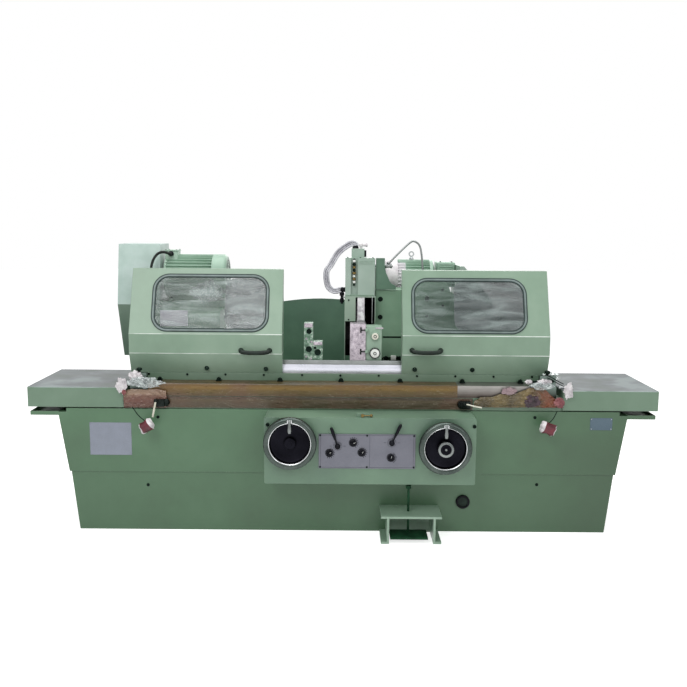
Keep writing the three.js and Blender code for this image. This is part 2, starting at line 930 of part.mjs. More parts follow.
function reverseLever() {
  const hub = rod('y', reverseLeverRadius, reverseFaceY - reverseLeverRadius, reverseFaceY, 10);
  const pin = rod('y', reversePinRadius, reverseFaceY - joinDepth,
    reverseFaceY + reverseBlockDepth - seatGap, 10);
  const middle = reverseFaceY - reverseLeverRadius / 2;
  const stem = bar([0, middle, 0], [reverseLeverLength, middle, 0], reversePinRadius / 2, 6);
  const end = new THREE.SphereGeometry(reverseLeverRadius, 8, 5);
  return join(hub, pin, stem, end.translate(reverseLeverLength, middle, 0));
}

// Foot pedal and the box that guards it
function pedalGuard() {
  const front = apronFrontY;
  const back = bedFrontY + bedStepInset - seatGap;
  const shell = block(pedalBoxLeft + pedalBoxFlange, pedalBoxRight - pedalBoxFlange,
    front, back, 0, pedalBoxHeight);
  const feet = block(pedalBoxLeft, pedalBoxRight, front, back, 0, pedalBoxWall);
  const hollow = block(pedalBoxLeft + pedalBoxFlange + pedalBoxWall,
    pedalBoxRight - pedalBoxFlange - pedalBoxWall,
    front - cutOverrun, back - pedalBoxWall, -cutOverrun, pedalBoxHeight - pedalBoxWall);
  const lid = block(pedalBoxLeft, pedalBoxRight, front, back,
    pedalBoxHeight - pedalBoxWall, pedalBoxHeight);
  const rodHole = bore('z', pedalRodRadius + runningGap, pedalBoxHeight - pedalBoxWall - cutOverrun,
    pedalBoxHeight + cutOverrun, 10).translate(pedalX, pedalRodY, 0);
  return cut(join(shell, feet, lid), hollow, rodHole);
}

function footPedal() {
  const plate = block(-pedalHalfWidth, pedalHalfWidth, apronFrontY, pedalRodY + pedalBoxFlange,
    pedalFloor, pedalFloor + pedalThick);
  const stem = rod('z', pedalRodRadius, pedalFloor + joinDepth, pedalRodTop, 10);
  const collar = rod('z', pedalCollarRadius, pedalCollarZ, pedalCollarZ + pedalCollarHeight, 10);
  return join(plate, stem.translate(0, pedalRodY, 0), collar.translate(0, pedalRodY, 0));
}

function oilGauge() {
  return turned('y', [
    [0, -seatGap],
    [gaugeRadius, -seatGap],
    [gaugeRadius, -gaugeDepth * 0.75],
    [gaugeRadius * 0.93, -gaugeDepth],
    [gaugeGlassRadius, -gaugeDepth],
    [gaugeGlassRadius, -gaugeDepth + gaugeRecess],
    [0, -gaugeDepth + gaugeRecess],
  ], 20);
}

// Lower table, riding on the vee way and the flat way
function lowerTable() {
  const outline = rectangle(tableFrontY, tableBackY, lowerTableBottom, lowerTableTop);
  const veeGap = seatGap * 1.6;
  const slotZ = lowerTableBottom + dogSlotRise;
  return join(
    cut(
      alongX(outline, -lowerTableHalf, lowerTableHalf),
      alongX(veeOutline(veeWayY, deckZ, 0, veeGap), -lowerTableHalf - cutOverrun,
        lowerTableHalf + cutOverrun),
      alongX(flatOutline(flatWayY, deckZ, runningGap, seatGap), -lowerTableHalf - cutOverrun,
        lowerTableHalf + cutOverrun),
      block(-lowerTableHalf - cutOverrun, lowerTableHalf + cutOverrun, tableFrontY - cutOverrun,
        tableFrontY + dogSlotDepth, slotZ, slotZ + dogSlotHeight),
    ),
    rod('z', swivelPinRadius, lowerTableTop - joinDepth, lowerTableTop + swivelPinRise, 20),
  );
}

// Way cover: a long lid over the ways, open below
function wayCover(side) {
  const inner = lowerTableHalf + seatGap;
  const bottom = deckZ + coverLift;
  const top = bottom + coverHeight;
  const x0 = side > 0 ? inner : -coverOuterHalf;
  const x1 = side > 0 ? coverOuterHalf : -inner;
  return cut(
    block(x0, x1, bedFrontY, bedBackY, bottom, top),
    block(x0 + coverWall, x1 - coverWall, bedFrontY + coverWall, bedBackY - coverWall,
      bottom - cutOverrun, top - coverWall),
    alongX(veeOutline(veeWayY, deckZ, coverWayClear, coverWayClear), x0 - cutOverrun,
      x1 + cutOverrun),
    alongX(flatOutline(flatWayY, deckZ, coverWayClear, coverWayClear), x0 - cutOverrun,
      x1 + cutOverrun),
  );
}

const dogBackY = tableFrontY - seatGap * 2 - wrapThick;

function tableDog(handle) {
  const bottom = lowerTableBottom + (lowerTableHeight - dogHeight) / 2;
  const front = dogBackY - dogDepth;
  const middleZ = bottom + dogHeight / 2;
  const leverY = front - dogLeverRadius * 2;
  const boss = rod('y', dogHalf / 3, leverY - dogLeverRadius, front + joinDepth, 10);
  return join(
    block(-dogHalf, dogHalf, front, dogBackY, bottom, bottom + dogHeight),
    boss.translate(handle.start, 0, middleZ),
    bar([handle.start, leverY, middleZ],
      [handle.start + handle.lean, leverY, middleZ - handle.drop], dogLeverRadius, 6),
  );
}

// Upper table with its top face, front ledge and rear trough
function upperTable() {
  const troughZ = upperTableBottom + troughFloor;
  const lipZ = upperTableBottom + troughLip;
  const outline = [
    [tableFrontY, upperTableBottom],
    [tableBackY, upperTableBottom],
    [tableBackY, lipZ],
    [tableBackY - troughWall, lipZ],
    [tableBackY - troughWall, troughZ],
    [topFaceBackY + troughWall, troughZ],
    [topFaceBackY, tableTop],
    [ledgeBackY, tableTop],
    [ledgeBackY, ledgeZ],
    [tableFrontY, ledgeZ],
  ];
  const plan = [
    [-upperTableHalf + upperTableCorner, tableFrontY],
    [upperTableHalf - upperTableCorner, tableFrontY],
    [upperTableHalf, ledgeBackY],
    [upperTableHalf, topFaceBackY],
    [upperTableHalf - upperTableCorner, tableBackY],
    [-upperTableHalf + upperTableCorner, tableBackY],
    [-upperTableHalf, topFaceBackY],
    [-upperTableHalf, ledgeBackY],
  ];
  return cut(
    join(
      common(
        alongX(outline, -upperTableHalf, upperTableHalf),
        alongZ(plan, upperTableBottom - cutOverrun, tableTop + cutOverrun),
      ),
      endClamp(-1),
      endClamp(1),
    ),
    bore('z', swivelPinRadius + seatGap, upperTableBottom - cutOverrun,
      lowerTableTop + swivelPinRise + seatGap, 20),
  );
}

function hoodRail() {
  return block(leftHoodLeft, railRightX, ledgeBackY - seatGap - railThick, ledgeBackY - seatGap,
    ledgeZ + seatGap, tableTop);
}

function upperWrap() {
  const gap = seatGap;
  const front = tableFrontY - gap - wrapThick;
  const outline = [
    [front, upperTableBottom + wrapMargin],
    [tableFrontY - gap, upperTableBottom + wrapMargin],
    [tableFrontY - gap, ledgeZ + gap],
    [tableFrontY + wrapTopDepth, ledgeZ + gap],
    [tableFrontY + wrapTopDepth, ledgeZ + gap + wrapThick],
    [front, ledgeZ + gap + wrapThick],
  ];
  return alongX(outline, wrapLeft, wrapRight);
}

function lowerWrap() {
  const front = tableFrontY - seatGap - wrapThick;
  return block(wrapLeft, lowerWrapRight, front, tableFrontY - seatGap,
    lowerTableBottom + wrapMargin, lowerTableTop - wrapMargin);
}

function endClamp(side) {
  const base = ledgeZ - joinDepth;
  const x = side * endClampX;
  return block(x - endClampHalf, x + endClampHalf, tableFrontY, tableFrontY + endClampDepth,
    base, base + endClampHeight);
}

// Sheet-metal hood. Its outline is drawn in Y and Z.
const hoodFootY = ledgeBackY - seatGap - railThick + hoodSheet;
const hoodFootZ = onTable;
const hoodBulgeY = hoodFootY - hoodBulge;
const hoodTopY = hoodFootY + hoodTopSetback;
const hoodBendZ = hoodFootZ + hoodBendRise;
const hoodTopZ = hoodFootZ + hoodTopRise;

function hoodOutline() {
  return [
    [hoodFootY + hoodFlange, hoodFootZ],
    [hoodTopY + hoodFlange, hoodTopZ],
    [hoodTopY, hoodTopZ],
    [hoodBulgeY, hoodBendZ],
    [hoodBulgeY, hoodFootZ + hoodCreaseRise],
    [hoodFootY, hoodFootZ],
  ];
}

function slopeFrame() {
  const run = hoodTopY - hoodBulgeY;
  const rise = hoodTopZ - hoodBendZ;
  const length = Math.hypot(run, rise);
  return { angle: Math.atan2(run, rise), length };
}

// A plate with the window outline, standing on the sloped face of the hood
function windowPlate(left, right, grow, back, front) {
  const { angle, length } = slopeFrame();
  const outline = roundedRectangle(left - grow, right + grow, windowMargin - grow,
    length - windowMargin * 2 + grow, windowCorner + grow, 2);
  const plate = alongY(outline, -front, -back);
  return plate.rotateX(-angle).translate(0, hoodBulgeY, hoodBendZ);
}

function hood(left, right, windowLeft, windowRight, handleX) {
  const outer = hoodOutline();
  const [, , top, bend, crease, foot] = inset(outer, hoodSheet);
  const openBackY = hoodTopY + hoodFlange + cutOverrun;
  const inner = [
    [openBackY, hoodFootZ - cutOverrun],
    [openBackY, hoodTopZ - hoodSheet],
    top,
    bend,
    crease,
    foot,
    [foot[0], hoodFootZ - cutOverrun],
  ];
  const sheet = cut(
    alongX(outer, left, right),
    alongX(inner, left + hoodSheet, right - hoodSheet),
    windowPlate(windowLeft, windowRight, 0, -cutOverrun, cutOverrun),
  );
  const handle = hoodHandle().translate(handleX, hoodBulgeY, hoodFootZ + hoodCreaseRise + handleRise);
  return join(sheet, handle);
}

// Window: a pane in its rubber seal, which is slotted outside for the hood sheet
function hoodWindow(windowLeft, windowRight) {
  const back = -hoodSheet - sealThick / 3;
  const front = sealThick / 2;
  const slot = cut(
    windowPlate(windowLeft, windowRight, sealWidth, -hoodSheet - runningGap, runningGap),
    windowPlate(windowLeft, windowRight, -runningGap, back - cutOverrun, front + cutOverrun),
  );
  const seal = cut(
    windowPlate(windowLeft, windowRight, sealWidth / 2, back, front),
    windowPlate(windowLeft, windowRight, -sealWidth, back - cutOverrun, front + cutOverrun),
    slot,
  );
  const pane = windowPlate(windowLeft, windowRight, -sealWidth / 2, -hoodSheet,
    -hoodSheet + glassThick);
  return join(seal, pane);
}

function hoodHandle() {
  const half = handleLength / 2;
  const away = -handleReach;
  return join(
    tube([
      [-half, joinDepth, 0],
      [-half, away * 0.5, 0],
      [-half * 0.88, away * 0.9, 0],
      [-half * 0.6, away, 0],
      [half * 0.6, away, 0],
      [half * 0.88, away * 0.9, 0],
      [half, away * 0.5, 0],
      [half, joinDepth, 0],
    ], handleRadius, 6, 12),
    rod('y', handleRadius * 1.4, -handleReach / 4, joinDepth, 10).translate(-half, 0, 0),
    rod('y', handleRadius * 1.4, -handleReach / 4, joinDepth, 10).translate(half, 0, 0),
  );
}

// Headstock body with base, gearbox and motor shelf
function headstockBody() {
  const base = onTable;
  const bodyBottom = base + headBaseHeight;
  const top = tableTop + headTopRise;
  const shelf = tableTop + motorShelfRise;
  const outline = [
    [headFrontY, bodyBottom - joinDepth],
    [headBackY, bodyBottom - joinDepth],
    [headBackY, shelf - motorShelfThick * 3],
    [motorShelfBack, shelf - motorShelfThick],
    [motorShelfBack, shelf],
    [headMotorY - headMotorRadius, shelf],
    [headMotorY - headMotorRadius, top],
    ...arc(headFrontY + headShoulder, top - headShoulder, headShoulder, 90, 180, 4),
  ];
  const gearbox = block(headLeft, headLeft + gearboxLength, headBackY - joinDepth,
    inputShaftY + gearboxHalf, axisZ - gearboxHalf, axisZ + gearboxHalf);
  const spindleBore = bore('x', spindleRadius + seatGap, headRight - spindleDepth - seatGap,
    headRight + cutOverrun, 18).translate(0, 0, axisZ);
  const centreBore = bore('x', centreRadius + seatGap, headLeft + headBaseMargin * 2,
    headRight - spindleDepth, 14).translate(0, 0, axisZ);
  const inputBore = bore('x', headShaftRadius + seatGap, headLeft - cutOverrun,
    headLeft + gearboxLength / 2, 14).translate(0, inputShaftY, axisZ);
  return cut(
    join(
      alongX(outline, headLeft, headRight),
      gearbox,
      block(headLeft - headBaseMargin, headRight + headBaseMargin, headFrontY + headBaseMargin,
        headBackY - headBaseMargin, base, bodyBottom),
    ),
    spindleBore,
    centreBore,
    inputBore,
  );
}

function driverPlate() {
  const face = headRight + plateOffset + driverThick;
  const inner = centreRadius + seatGap * 2;
  const back = headRight - spindleDepth;
  const plate = turned('x', [
    [inner, back],
    [spindleRadius, back],
    [spindleRadius, headRight + seatGap],
    [spindleFlange, headRight + seatGap],
    [spindleFlange, headRight + plateOffset],
    [driverRadius, headRight + plateOffset],
    [driverRadius, face],
    [inner, face],
    [inner, back],
  ], 18);
  const pin = rod('x', driverPinRadius, face - joinDepth, face + driverPinReach, 10);
  return join(plate, pin.translate(0, 0, driverPinOrbit));
}

function headstockCentre() {
  const face = headRight + plateOffset + driverThick;
  return turned('x', [
    [0, headLeft + headBaseMargin * 2 + seatGap],
    [centreRadius, headLeft + headBaseMargin * 2 + seatGap],
    [centreRadius, face + centreReach / 3],
    [centreRadius * 0.9, face + centreReach / 3],
    [0, face + centreReach],
  ], 14);
}

function headstockMotor() {
  const right = headMotorLeft + headMotorLength;
  const shelf = tableTop + motorShelfRise + seatGap;
  const outline = finnedOutline(headMotorY, headMotorZ, headMotorRadius, headMotorFin, headFinCount);
  const bell = headMotorRadius + headMotorFin / 2;
  const foot = headMotorRadius * 0.7;
  return cut(
    join(
      alongX(outline, headMotorLeft + headMotorFoot, right),
      rod('x', bell, headMotorLeft, headMotorLeft + headMotorFoot * 2, 20)
        .translate(0, headMotorY, headMotorZ),
      block(headMotorLeft + headMotorFoot * 3, right - headMotorFoot * 3, headMotorY - foot,
        headMotorY + foot, shelf, headMotorZ - headMotorRadius * 0.5),
      block(headMotorLeft + headMotorFoot, headMotorLeft + headMotorFoot + terminalLength,
        headMotorY - terminalLength, headMotorY + terminalLength / 2, headMotorZ,
        headMotorZ + headMotorRadius + terminalRise),
      turned('x', [
        [0, right - joinDepth],
        [headMotorRadius + headMotorFin, right - joinDepth],
        [headMotorRadius + headMotorFin, right + headCowlLength * 0.72],
        [headMotorRadius * 0.95, right + headCowlLength],
        [0, right + headCowlLength],
      ], 24).translate(0, headMotorY, headMotorZ),
    ),
    bore('x', headShaftRadius + seatGap, headMotorLeft - cutOverrun,
      headMotorLeft + headMotorFoot * 2, 14).translate(0, headMotorY, headMotorZ),
  );
}

function headstockGuardOutline() {
  return [
    [guardBottomY, tableTop + guardBottomRise],
    [guardBackY, tableTop + guardBottomRise],
    [guardBackY, tableTop + guardTopRise],
    [guardTopY, tableTop + guardTopRise],
    [guardKneeY, tableTop + guardKneeRise],
  ];
}

function headstockBeltGuard() {
  const outline = headstockGuardOutline();
  const wall = headGuardRight - guardWall;
  const hole = headShaftRadius + runningGap * 4;
  return cut(
    alongX(outline, guardOuterLeft, headGuardRight),
    alongX(inset(outline, guardWall), guardOuterLeft + guardWall, wall),
    bore('x', hole, wall - cutOverrun, headGuardRight + cutOverrun, 10)
      .translate(0, headMotorY, headMotorZ),
    bore('x', hole, wall - cutOverrun, headGuardRight + cutOverrun, 10)
      .translate(0, inputShaftY, axisZ),
  );
}

function headstockPulley(radius, shaftEnd) {
  const right = headPulleyLeft + headPulleyWidth;
  return turned('x', [
    [0, headPulleyLeft],
    [radius + beltThick, headPulleyLeft],
    [radius + beltThick, headPulleyLeft + beltThick],
    [radius, headPulleyLeft + beltThick],
    [radius, right - beltThick],
    [radius + beltThick, right - beltThick],
    [radius + beltThick, right],
    [headShaftRadius, right],
    [headShaftRadius, shaftEnd],
    [0, shaftEnd],
  ], 14);
}

function pulleyBelt(a, radiusA, b, radiusB, x0, x1) {
  const inner = beltOutline(a, radiusA + seatGap, b, radiusB + seatGap, 9);
  const outer = beltOutline(a, radiusA + beltThick, b, radiusB + beltThick, 9);
  return cut(
    alongX(outer, x0, x1),
    alongX(inner, x0 - cutOverrun, x1 + cutOverrun),
  );
}

function headstockBelt() {
  return pulleyBelt([headMotorY, headMotorZ], headMotorPulley, [inputShaftY, axisZ],
    headInputPulley, headPulleyLeft + beltThick + runningGap,
    headPulleyLeft + headPulleyWidth - beltThick - runningGap);
}

function motorCable() {
  const bend = terminalLength / 2;
  const start = headMotorLeft + headMotorFoot + bend;
  const startY = headMotorY - terminalLength - seatGap;
  const startZ = headMotorZ + headMotorRadius + terminalRise / 2;
  const endY = headFrontY / 10;
  const endZ = tableTop + headTopRise * 0.8;
  return tube([
    [start, startY, startZ],
    [start, startY - bend, startZ],
    [start - bend, guardKneeY + bend * 0.3, startZ + bend * 0.3],
    [start - bend * 2, guardKneeY, startZ - bend * 0.2],
    [start - bend * 2.7, guardKneeY - bend * 0.6, startZ - bend * 2],
    [start - bend * 2.9, guardKneeY - bend * 1.6, endZ + bend * 4],
    [start - bend * 2.7, endY, endZ + bend],
    [headLeft - bend, endY, endZ],
    [headLeft - seatGap, endY, endZ],
  ], cableRadius, 6, 20);
}

// Tailstock with its spring-loaded quill
function tailstockBody() {
  const base = onTable;
  const top = tableTop + tailTopRise;
  const outline = [
    [-tailBaseHalf, base],
    [tailBaseHalf, base],
    [tailBaseHalf, base + tailBaseHeight],
    [tailHalf, base + tailBaseHeight * 1.5],
    [tailHalf, top - tailShoulder],
    [tailHalf - tailShoulder, top],
    [-tailHalf + tailShoulder, top],
    [-tailHalf, top - tailShoulder],
    [-tailHalf, base + tailBaseHeight * 1.5],
    [-tailBaseHalf, base + tailBaseHeight],
  ];
  const nose = rod('x', tailNoseRadius, tailLeft - tailNoseLength, tailLeft + joinDepth, 20);
  const quillBore = bore('x', quillRadius + seatGap, tailLeft - tailNoseLength - cutOverrun,
    tailLeft + quillDepth + quillStroke + seatGap, 18);
  const leverBore = bore('y', tailLeverHub / 2 + seatGap, -tailHalf - cutOverrun,
    -tailHalf + tailLeverHubDepth + seatGap, 12);
  return cut(
    join(alongX(outline, tailLeft, tailRight), nose.translate(0, 0, axisZ)),
    quillBore.translate(0, 0, axisZ),
    leverBore.translate(tailLeverX, 0, tableTop + tailLeverRise),
  );
}

function tailstockQuill() {
  const front = tailLeft - tailNoseLength - quillOut;
  return turned('x', [
    [0, front - quillCentreLength],
    [quillRadius * 0.5, front - quillCentreLength * 0.35],
    [quillRadius * 0.5, front],
    [quillRadius, front],
    [quillRadius, tailLeft + quillDepth],
    [0, tailLeft + quillDepth],
  ], 18);
}

function tailstockLever() {
  const middle = -tailHalf - seatGap - tailLeverHubDepth / 2;
  return join(
    rod('y', tailLeverHub, -tailHalf - seatGap - tailLeverHubDepth, -tailHalf - seatGap, 14),
    rod('y', tailLeverHub / 2, -tailHalf - seatGap - joinDepth, -tailHalf + tailLeverHubDepth, 12),
    bar([0, middle, 0], [-tailLeverLength, middle, tailLeverHub], tailLeverRadius, 8),
    new THREE.SphereGeometry(tailLeverRadius * 1.5, 8, 5)
      .translate(-tailLeverLength, middle, tailLeverHub),
  );
}

// Two-jaw rest: an L-shaped body in front of the work, a foot and two jaws
function steadyRest() {
  const base = onTable;
  const back = restFrontY + restDepth;
  const tallTop = tableTop + restTallRise;
  const shortTop = tableTop + restShortRise;
  const tallX = (restLeft + restMiddle) / 2;
  const shortX = (restMiddle + restRight) / 2;
  return join(
    block(restLeft, restMiddle, restFrontY, back, base, tallTop),
    block(restMiddle - joinDepth, restRight, restFrontY, back, base, shortTop),
    block(restLeft, restRight, restFrontY, restFootBack, base, base + restFootHeight),
    bar([tallX, back - joinDepth, axisZ], [tallX, -jawTipGap, axisZ], jawRadius, 8),
    bar([shortX, 0, base + joinDepth], [shortX, 0, axisZ - jawTipGap], jawRadius, 8),
  );
}

function dialRest() {
  const base = onTable;
  const top = base + dialRestHeight;
  const back = dialRestFrontY + dialRestDepth;
  const pinBore = (rise) => bore('y', dialPinRadius + seatGap, dialRestFrontY - cutOverrun,
    dialRestFrontY + dialStep + dialPinDepth + seatGap, 10).translate(dialX, 0, tableTop + rise);
  return cut(
    join(
      block(dialRestLeft, dialRestMiddle, dialRestFrontY, back, base, top),
      block(dialRestMiddle - joinDepth, dialRestRight, dialRestFrontY + dialStep, back, base,
        top - dialStep),
    ),
    pinBore(upperDialRise),
    pinBore(lowerDialRise),
  );
}

const dialFaceY = dialRestFrontY + dialStep;

function restDial(radius) {
  return turned('y', [
    [0, dialPinDepth],
    [dialPinRadius, dialPinDepth],
    [dialPinRadius, -seatGap],
    [radius, -seatGap],
    [radius, -dialDepth * 0.7],
    [radius * 0.7, -dialDepth * 0.7],
    [radius * 0.62, -dialDepth],
    [0, -dialDepth],
  ], 14);
}

// Wheelhead slide with its turntable
function wheelheadSlide() {
  const bottom = rearBedHeight + lowerTableLift;
  const veeGap = seatGap * 1.6;
  const turntableTop = wheelheadBottom - seatGap;
  const top = turntableTop - turntableHeight;
  return join(
    cut(
      block(slideLeft, slideRight, slideFrontY, slideBackY, bottom, top),
      alongY(veeOutline(rearVeeX, rearBedHeight, 0, veeGap), slideFrontY - cutOverrun,
        slideBackY + cutOverrun),
      alongY(flatOutline(rearFlatX, rearBedHeight, runningGap, seatGap), slideFrontY - cutOverrun,
        slideBackY + cutOverrun),
    ),
    rod('z', turntableRadius, top - joinDepth, turntableTop, 28).translate(turntableX, turntableY, 0),
    rod('z', pivotPinRadius, turntableTop - joinDepth, turntableTop + pivotPinRise, 18)
      .translate(turntableX, turntableY, 0),
  );
}

function wheelheadBody() {
  const outline = [
    ...arc(wheelheadLeft + wheelheadEdge, wheelheadBottom + wheelheadEdge, wheelheadEdge, 180, 270, 3),
    ...arc(wheelheadRight - wheelheadEdge, wheelheadBottom + wheelheadEdge, wheelheadEdge, 270, 360, 3),
    ...arc(wheelheadRight - wheelheadCorner, wheelheadTop - wheelheadCorner, wheelheadCorner, 0, 90, 6),
    [wheelheadLeft, wheelheadTop],
  ];
  return cut(
    alongY(outline, wheelheadFrontY, wheelheadBackY),
    block(wheelheadLeft - cutOverrun, wheelheadRight + cutOverrun, rearTopY,
      wheelheadBackY + cutOverrun, rearTop, wheelheadTop + cutOverrun),
    bore('x', wheelSpindleRadius + seatGap, wheelheadLeft - cutOverrun, wheelheadRight + cutOverrun, 20)
      .translate(0, wheelAxisY, axisZ),
    bore('z', pivotPinRadius + seatGap, wheelheadBottom - cutOverrun,
      wheelheadBottom + pivotPinRise + seatGap, 18).translate(turntableX, turntableY, 0),
  );
}

// Wheel guard: open in front and below, with a strip beside the wheel
function wheelGuard() {
  const right = wheelheadLeft - seatGap;
  const bottom = axisZ - wheelGuardBottomDrop;
  const lowAngle = THREE.MathUtils.radToDeg(Math.asin(-wheelGuardBottomDrop / wheelGuardRadius));
  const stripBottom = guardTopZ - wheelGuardStripDrop;
  const outline = [
    [wheelGuardBackY, bottom],
    ...arc(wheelAxisY, axisZ, wheelGuardRadius, lowAngle, 90, 14),
    [wheelGuardFrontY, guardTopZ],
    [wheelGuardFrontY, stripBottom],
    [wheelGuardBackY, stripBottom],
  ];
  const innerRadius = wheelGuardRadius - wheelGuardWall;
  const innerLow = THREE.MathUtils.radToDeg(Math.asin(-wheelGuardBottomDrop / innerRadius));
  const cavity = [
    [wheelGuardFrontY - cutOverrun, bottom - cutOverrun],
    [wheelAxisY + innerRadius * Math.cos(THREE.MathUtils.degToRad(innerLow)), bottom - cutOverrun],
    ...arc(wheelAxisY, axisZ, innerRadius, innerLow, 90, 14),
    [wheelGuardFrontY - cutOverrun, guardTopZ - wheelGuardWall],
  ];
  const behindStrip = cavity.map(([y, z]) => [Math.max(y, wheelGuardFrontY + wheelGuardWall), z]);
  return cut(
    alongX(outline, wheelGuardLeft, right),
    alongX(cavity, wheelGuardStripRight, right - wheelGuardWall),
    alongX(behindStrip, wheelGuardLeft + wheelGuardWall, wheelGuardStripRight + joinDepth),
    bore('x', spindleNoseRadius, right - wheelGuardWall - cutOverrun, right + cutOverrun, 20)
      .translate(0, wheelAxisY, axisZ),
  );
}

function guardTopBox() {
  const right = wheelheadLeft - wheelGuardWall;
  const bottom = guardTopZ + seatGap;
  const top = bottom + guardBoxHeight;
  const back = guardBoxFrontY + guardBoxDepth;
  const shoulder = [
    [right - joinDepth, bottom + wheelheadTop - guardTopZ],
    [shoulderRight, bottom + wheelheadTop - guardTopZ],
    [shoulderWaist, bottom + wheelheadTop - guardTopZ + shoulderHeight * 0.4],
    [shoulderWaist, bottom + shoulderHeight],
    [right - joinDepth, bottom + shoulderHeight],
  ];
  const capMiddle = guardBoxFrontY + guardBoxDepth / 2;
  return join(
    cut(
      block(guardBoxLeft, right, guardBoxFrontY, back, bottom, top),
      block(guardBoxGrooveLeft, guardBoxGrooveRight, guardBoxFrontY - cutOverrun,
        guardBoxFrontY + guardBoxGrooveDepth, bottom - cutOverrun, top + cutOverrun),
    ),
    alongY(shoulder, guardBoxFrontY + guardBoxGrooveDepth, back - guardBoxGrooveDepth),
    block(guardCapLeft, guardCapRight, capMiddle - guardCapDepth / 2, capMiddle + guardCapDepth / 2,
      top - joinDepth, top + guardCapHeight),
  );
}

function grindingWheel() {
  const left = grindingLeft;
  const right = grindingRight;
  return turned('x', [
    [0, left - flangeThick],
    [flangeRadius * 0.5, left - flangeThick],
    [flangeRadius, left - flangeThick / 2],
    [flangeRadius, left],
    [grindingRadius, left],
    [grindingRadius, right],
    [flangeRadius, right],
    [flangeRadius * 0.75, right + flangeThick],
    [0, right + flangeThick],
  ], 26);
}

function wheelSpindle() {
  const groove = wheelSpindlePulley;
  const rim = groove + beltThick;
  const pulleyRight = wheelBeltLeft + wheelPulleyWidth;
  return turned('x', [
    [0, grindingRight + flangeThick + seatGap],
    [spindleNoseRadius * 0.8, grindingRight + flangeThick + seatGap],
    [spindleNoseRadius * 0.8, wheelheadLeft - seatGap],
    [wheelSpindleRadius, wheelheadLeft - seatGap],
    [wheelSpindleRadius, wheelBeltLeft],
    [rim, wheelBeltLeft],
    [rim, wheelBeltLeft + beltThick],
    [groove, wheelBeltLeft + beltThick],
    [groove, pulleyRight - beltThick],
    [rim, pulleyRight - beltThick],
    [rim, pulleyRight],
    [0, pulleyRight],
  ], 16);
}

function wheelMotor() {
  const right = wheelMotorLeft + wheelMotorLength;
  const bodyRight = right + wheelMotorCowl;
  const outline = finnedOutline(wheelMotorY, wheelMotorZ, wheelMotorRadius, wheelMotorFin,
    wheelMotorFinCount);
  const shell = wheelMotorRadius + wheelMotorFin;
  const foot = wheelMotorRadius * 0.75;
  return cut(
    join(
      alongX(outline, wheelMotorLeft + wheelMotorCowl - joinDepth, right),
      turned('x', [
        [0, wheelMotorLeft],
        [shell * 0.85, wheelMotorLeft],
        [shell, wheelMotorLeft + wheelMotorCowl * 0.3],
        [shell, wheelMotorLeft + wheelMotorCowl],
        [0, wheelMotorLeft + wheelMotorCowl],
      ], 22).translate(0, wheelMotorY, wheelMotorZ),
      turned('x', [
        [0, right - joinDepth],
        [shell * 0.96, right - joinDepth],
        [shell * 0.96, right + wheelMotorBell],
        [shell * 0.4, right + wheelMotorBell * 2],
        [0, right + wheelMotorBell * 2],
      ], 22).translate(0, wheelMotorY, wheelMotorZ),
      block(wheelMotorLeft + wheelMotorCowl, right, wheelMotorY - foot, wheelMotorY + foot,
        rearTop + seatGap, wheelMotorZ - wheelMotorRadius * 0.6),
    ),
    bore('x', headShaftRadius + seatGap, right, bodyRight + cutOverrun, 12)
      .translate(0, wheelMotorY, wheelMotorZ),
  );
}

function wheelMotorPulleyPiece() {
  const rim = wheelMotorPulley + beltThick;
  const pulleyRight = wheelBeltLeft + wheelPulleyWidth;
  const shaftStart = wheelMotorLeft + wheelMotorLength + wheelMotorBell / 2;
  return turned('x', [
    [0, shaftStart],
    [headShaftRadius, shaftStart],
    [headShaftRadius, wheelBeltLeft],
    [rim, wheelBeltLeft],
    [rim, wheelBeltLeft + beltThick],
    [wheelMotorPulley, wheelBeltLeft + beltThick],
    [wheelMotorPulley, pulleyRight - beltThick],
    [rim, pulleyRight - beltThick],
    [rim, pulleyRight],
    [0, pulleyRight],
  ], 14);
}

function wheelheadBelt() {
  return pulleyBelt([wheelAxisY, axisZ], wheelSpindlePulley, [wheelMotorY, wheelMotorZ],
    wheelMotorPulley, wheelBeltLeft + beltThick + runningGap,
    wheelBeltLeft + wheelPulleyWidth - beltThick - runningGap);
}

function wheelheadBeltGuard() {
  const left = wheelheadRight + seatGap;
  const bottom = wheelheadBottom;
  const outline = [
    [left, bottom],
    [beltGuardRight, bottom],
    [beltGuardRight, axisZ + beltGuardKneeRise],
    [left + beltGuardTopWidth, axisZ + beltGuardTopRise],
    [left, axisZ + beltGuardTopRise],
  ];
  const holeTo = left + guardWall + cutOverrun;
  return cut(
    alongY(outline, beltGuardFrontY, beltGuardBackY),
    alongY(inset(outline, guardWall), beltGuardFrontY + guardWall, beltGuardBackY - guardWall),
    bore('x', wheelSpindleRadius + runningGap * 4, left - cutOverrun, holeTo, 16)
      .translate(0, wheelAxisY, axisZ),
    bore('x', headShaftRadius + runningGap * 4, left - cutOverrun, holeTo, 10)
      .translate(0, wheelMotorY, wheelMotorZ),
  );
}

// Coolant pipe, hand valve and the loose hose
function coolantPipe() {
  const top = wheelheadTop + centreHeight * 1.68;
  const span = pipeFootX - valveX;
  const line = tube([
    [pipeFootX, pipeY, wheelheadTop + seatGap],
    [pipeFootX, pipeY, wheelheadTop + centreHeight * 0.5],
    [pipeFootX - span * 0.05, pipeY, wheelheadTop + centreHeight * 1.2],
    [pipeFootX - span * 0.12, pipeY, top - pipeRadius * 4],
    [pipeFootX - span * 0.27, pipeY, top],
    [pipeFootX - span * 0.4, pipeY, top - pipeRadius * 2],
    [pipeFootX - span * 0.7, pipeY, top - centreHeight * 0.42],
    [valveX + valveRadius, pipeY, valveZ + valveRadius * 2],
    [valveX, pipeY, valveZ + valveRadius / 2],
  ], pipeRadius, 6, 20);
  return join(line, coolantValve());
}

const valveZ = guardTopZ + seatGap + guardBoxHeight * 0.78;

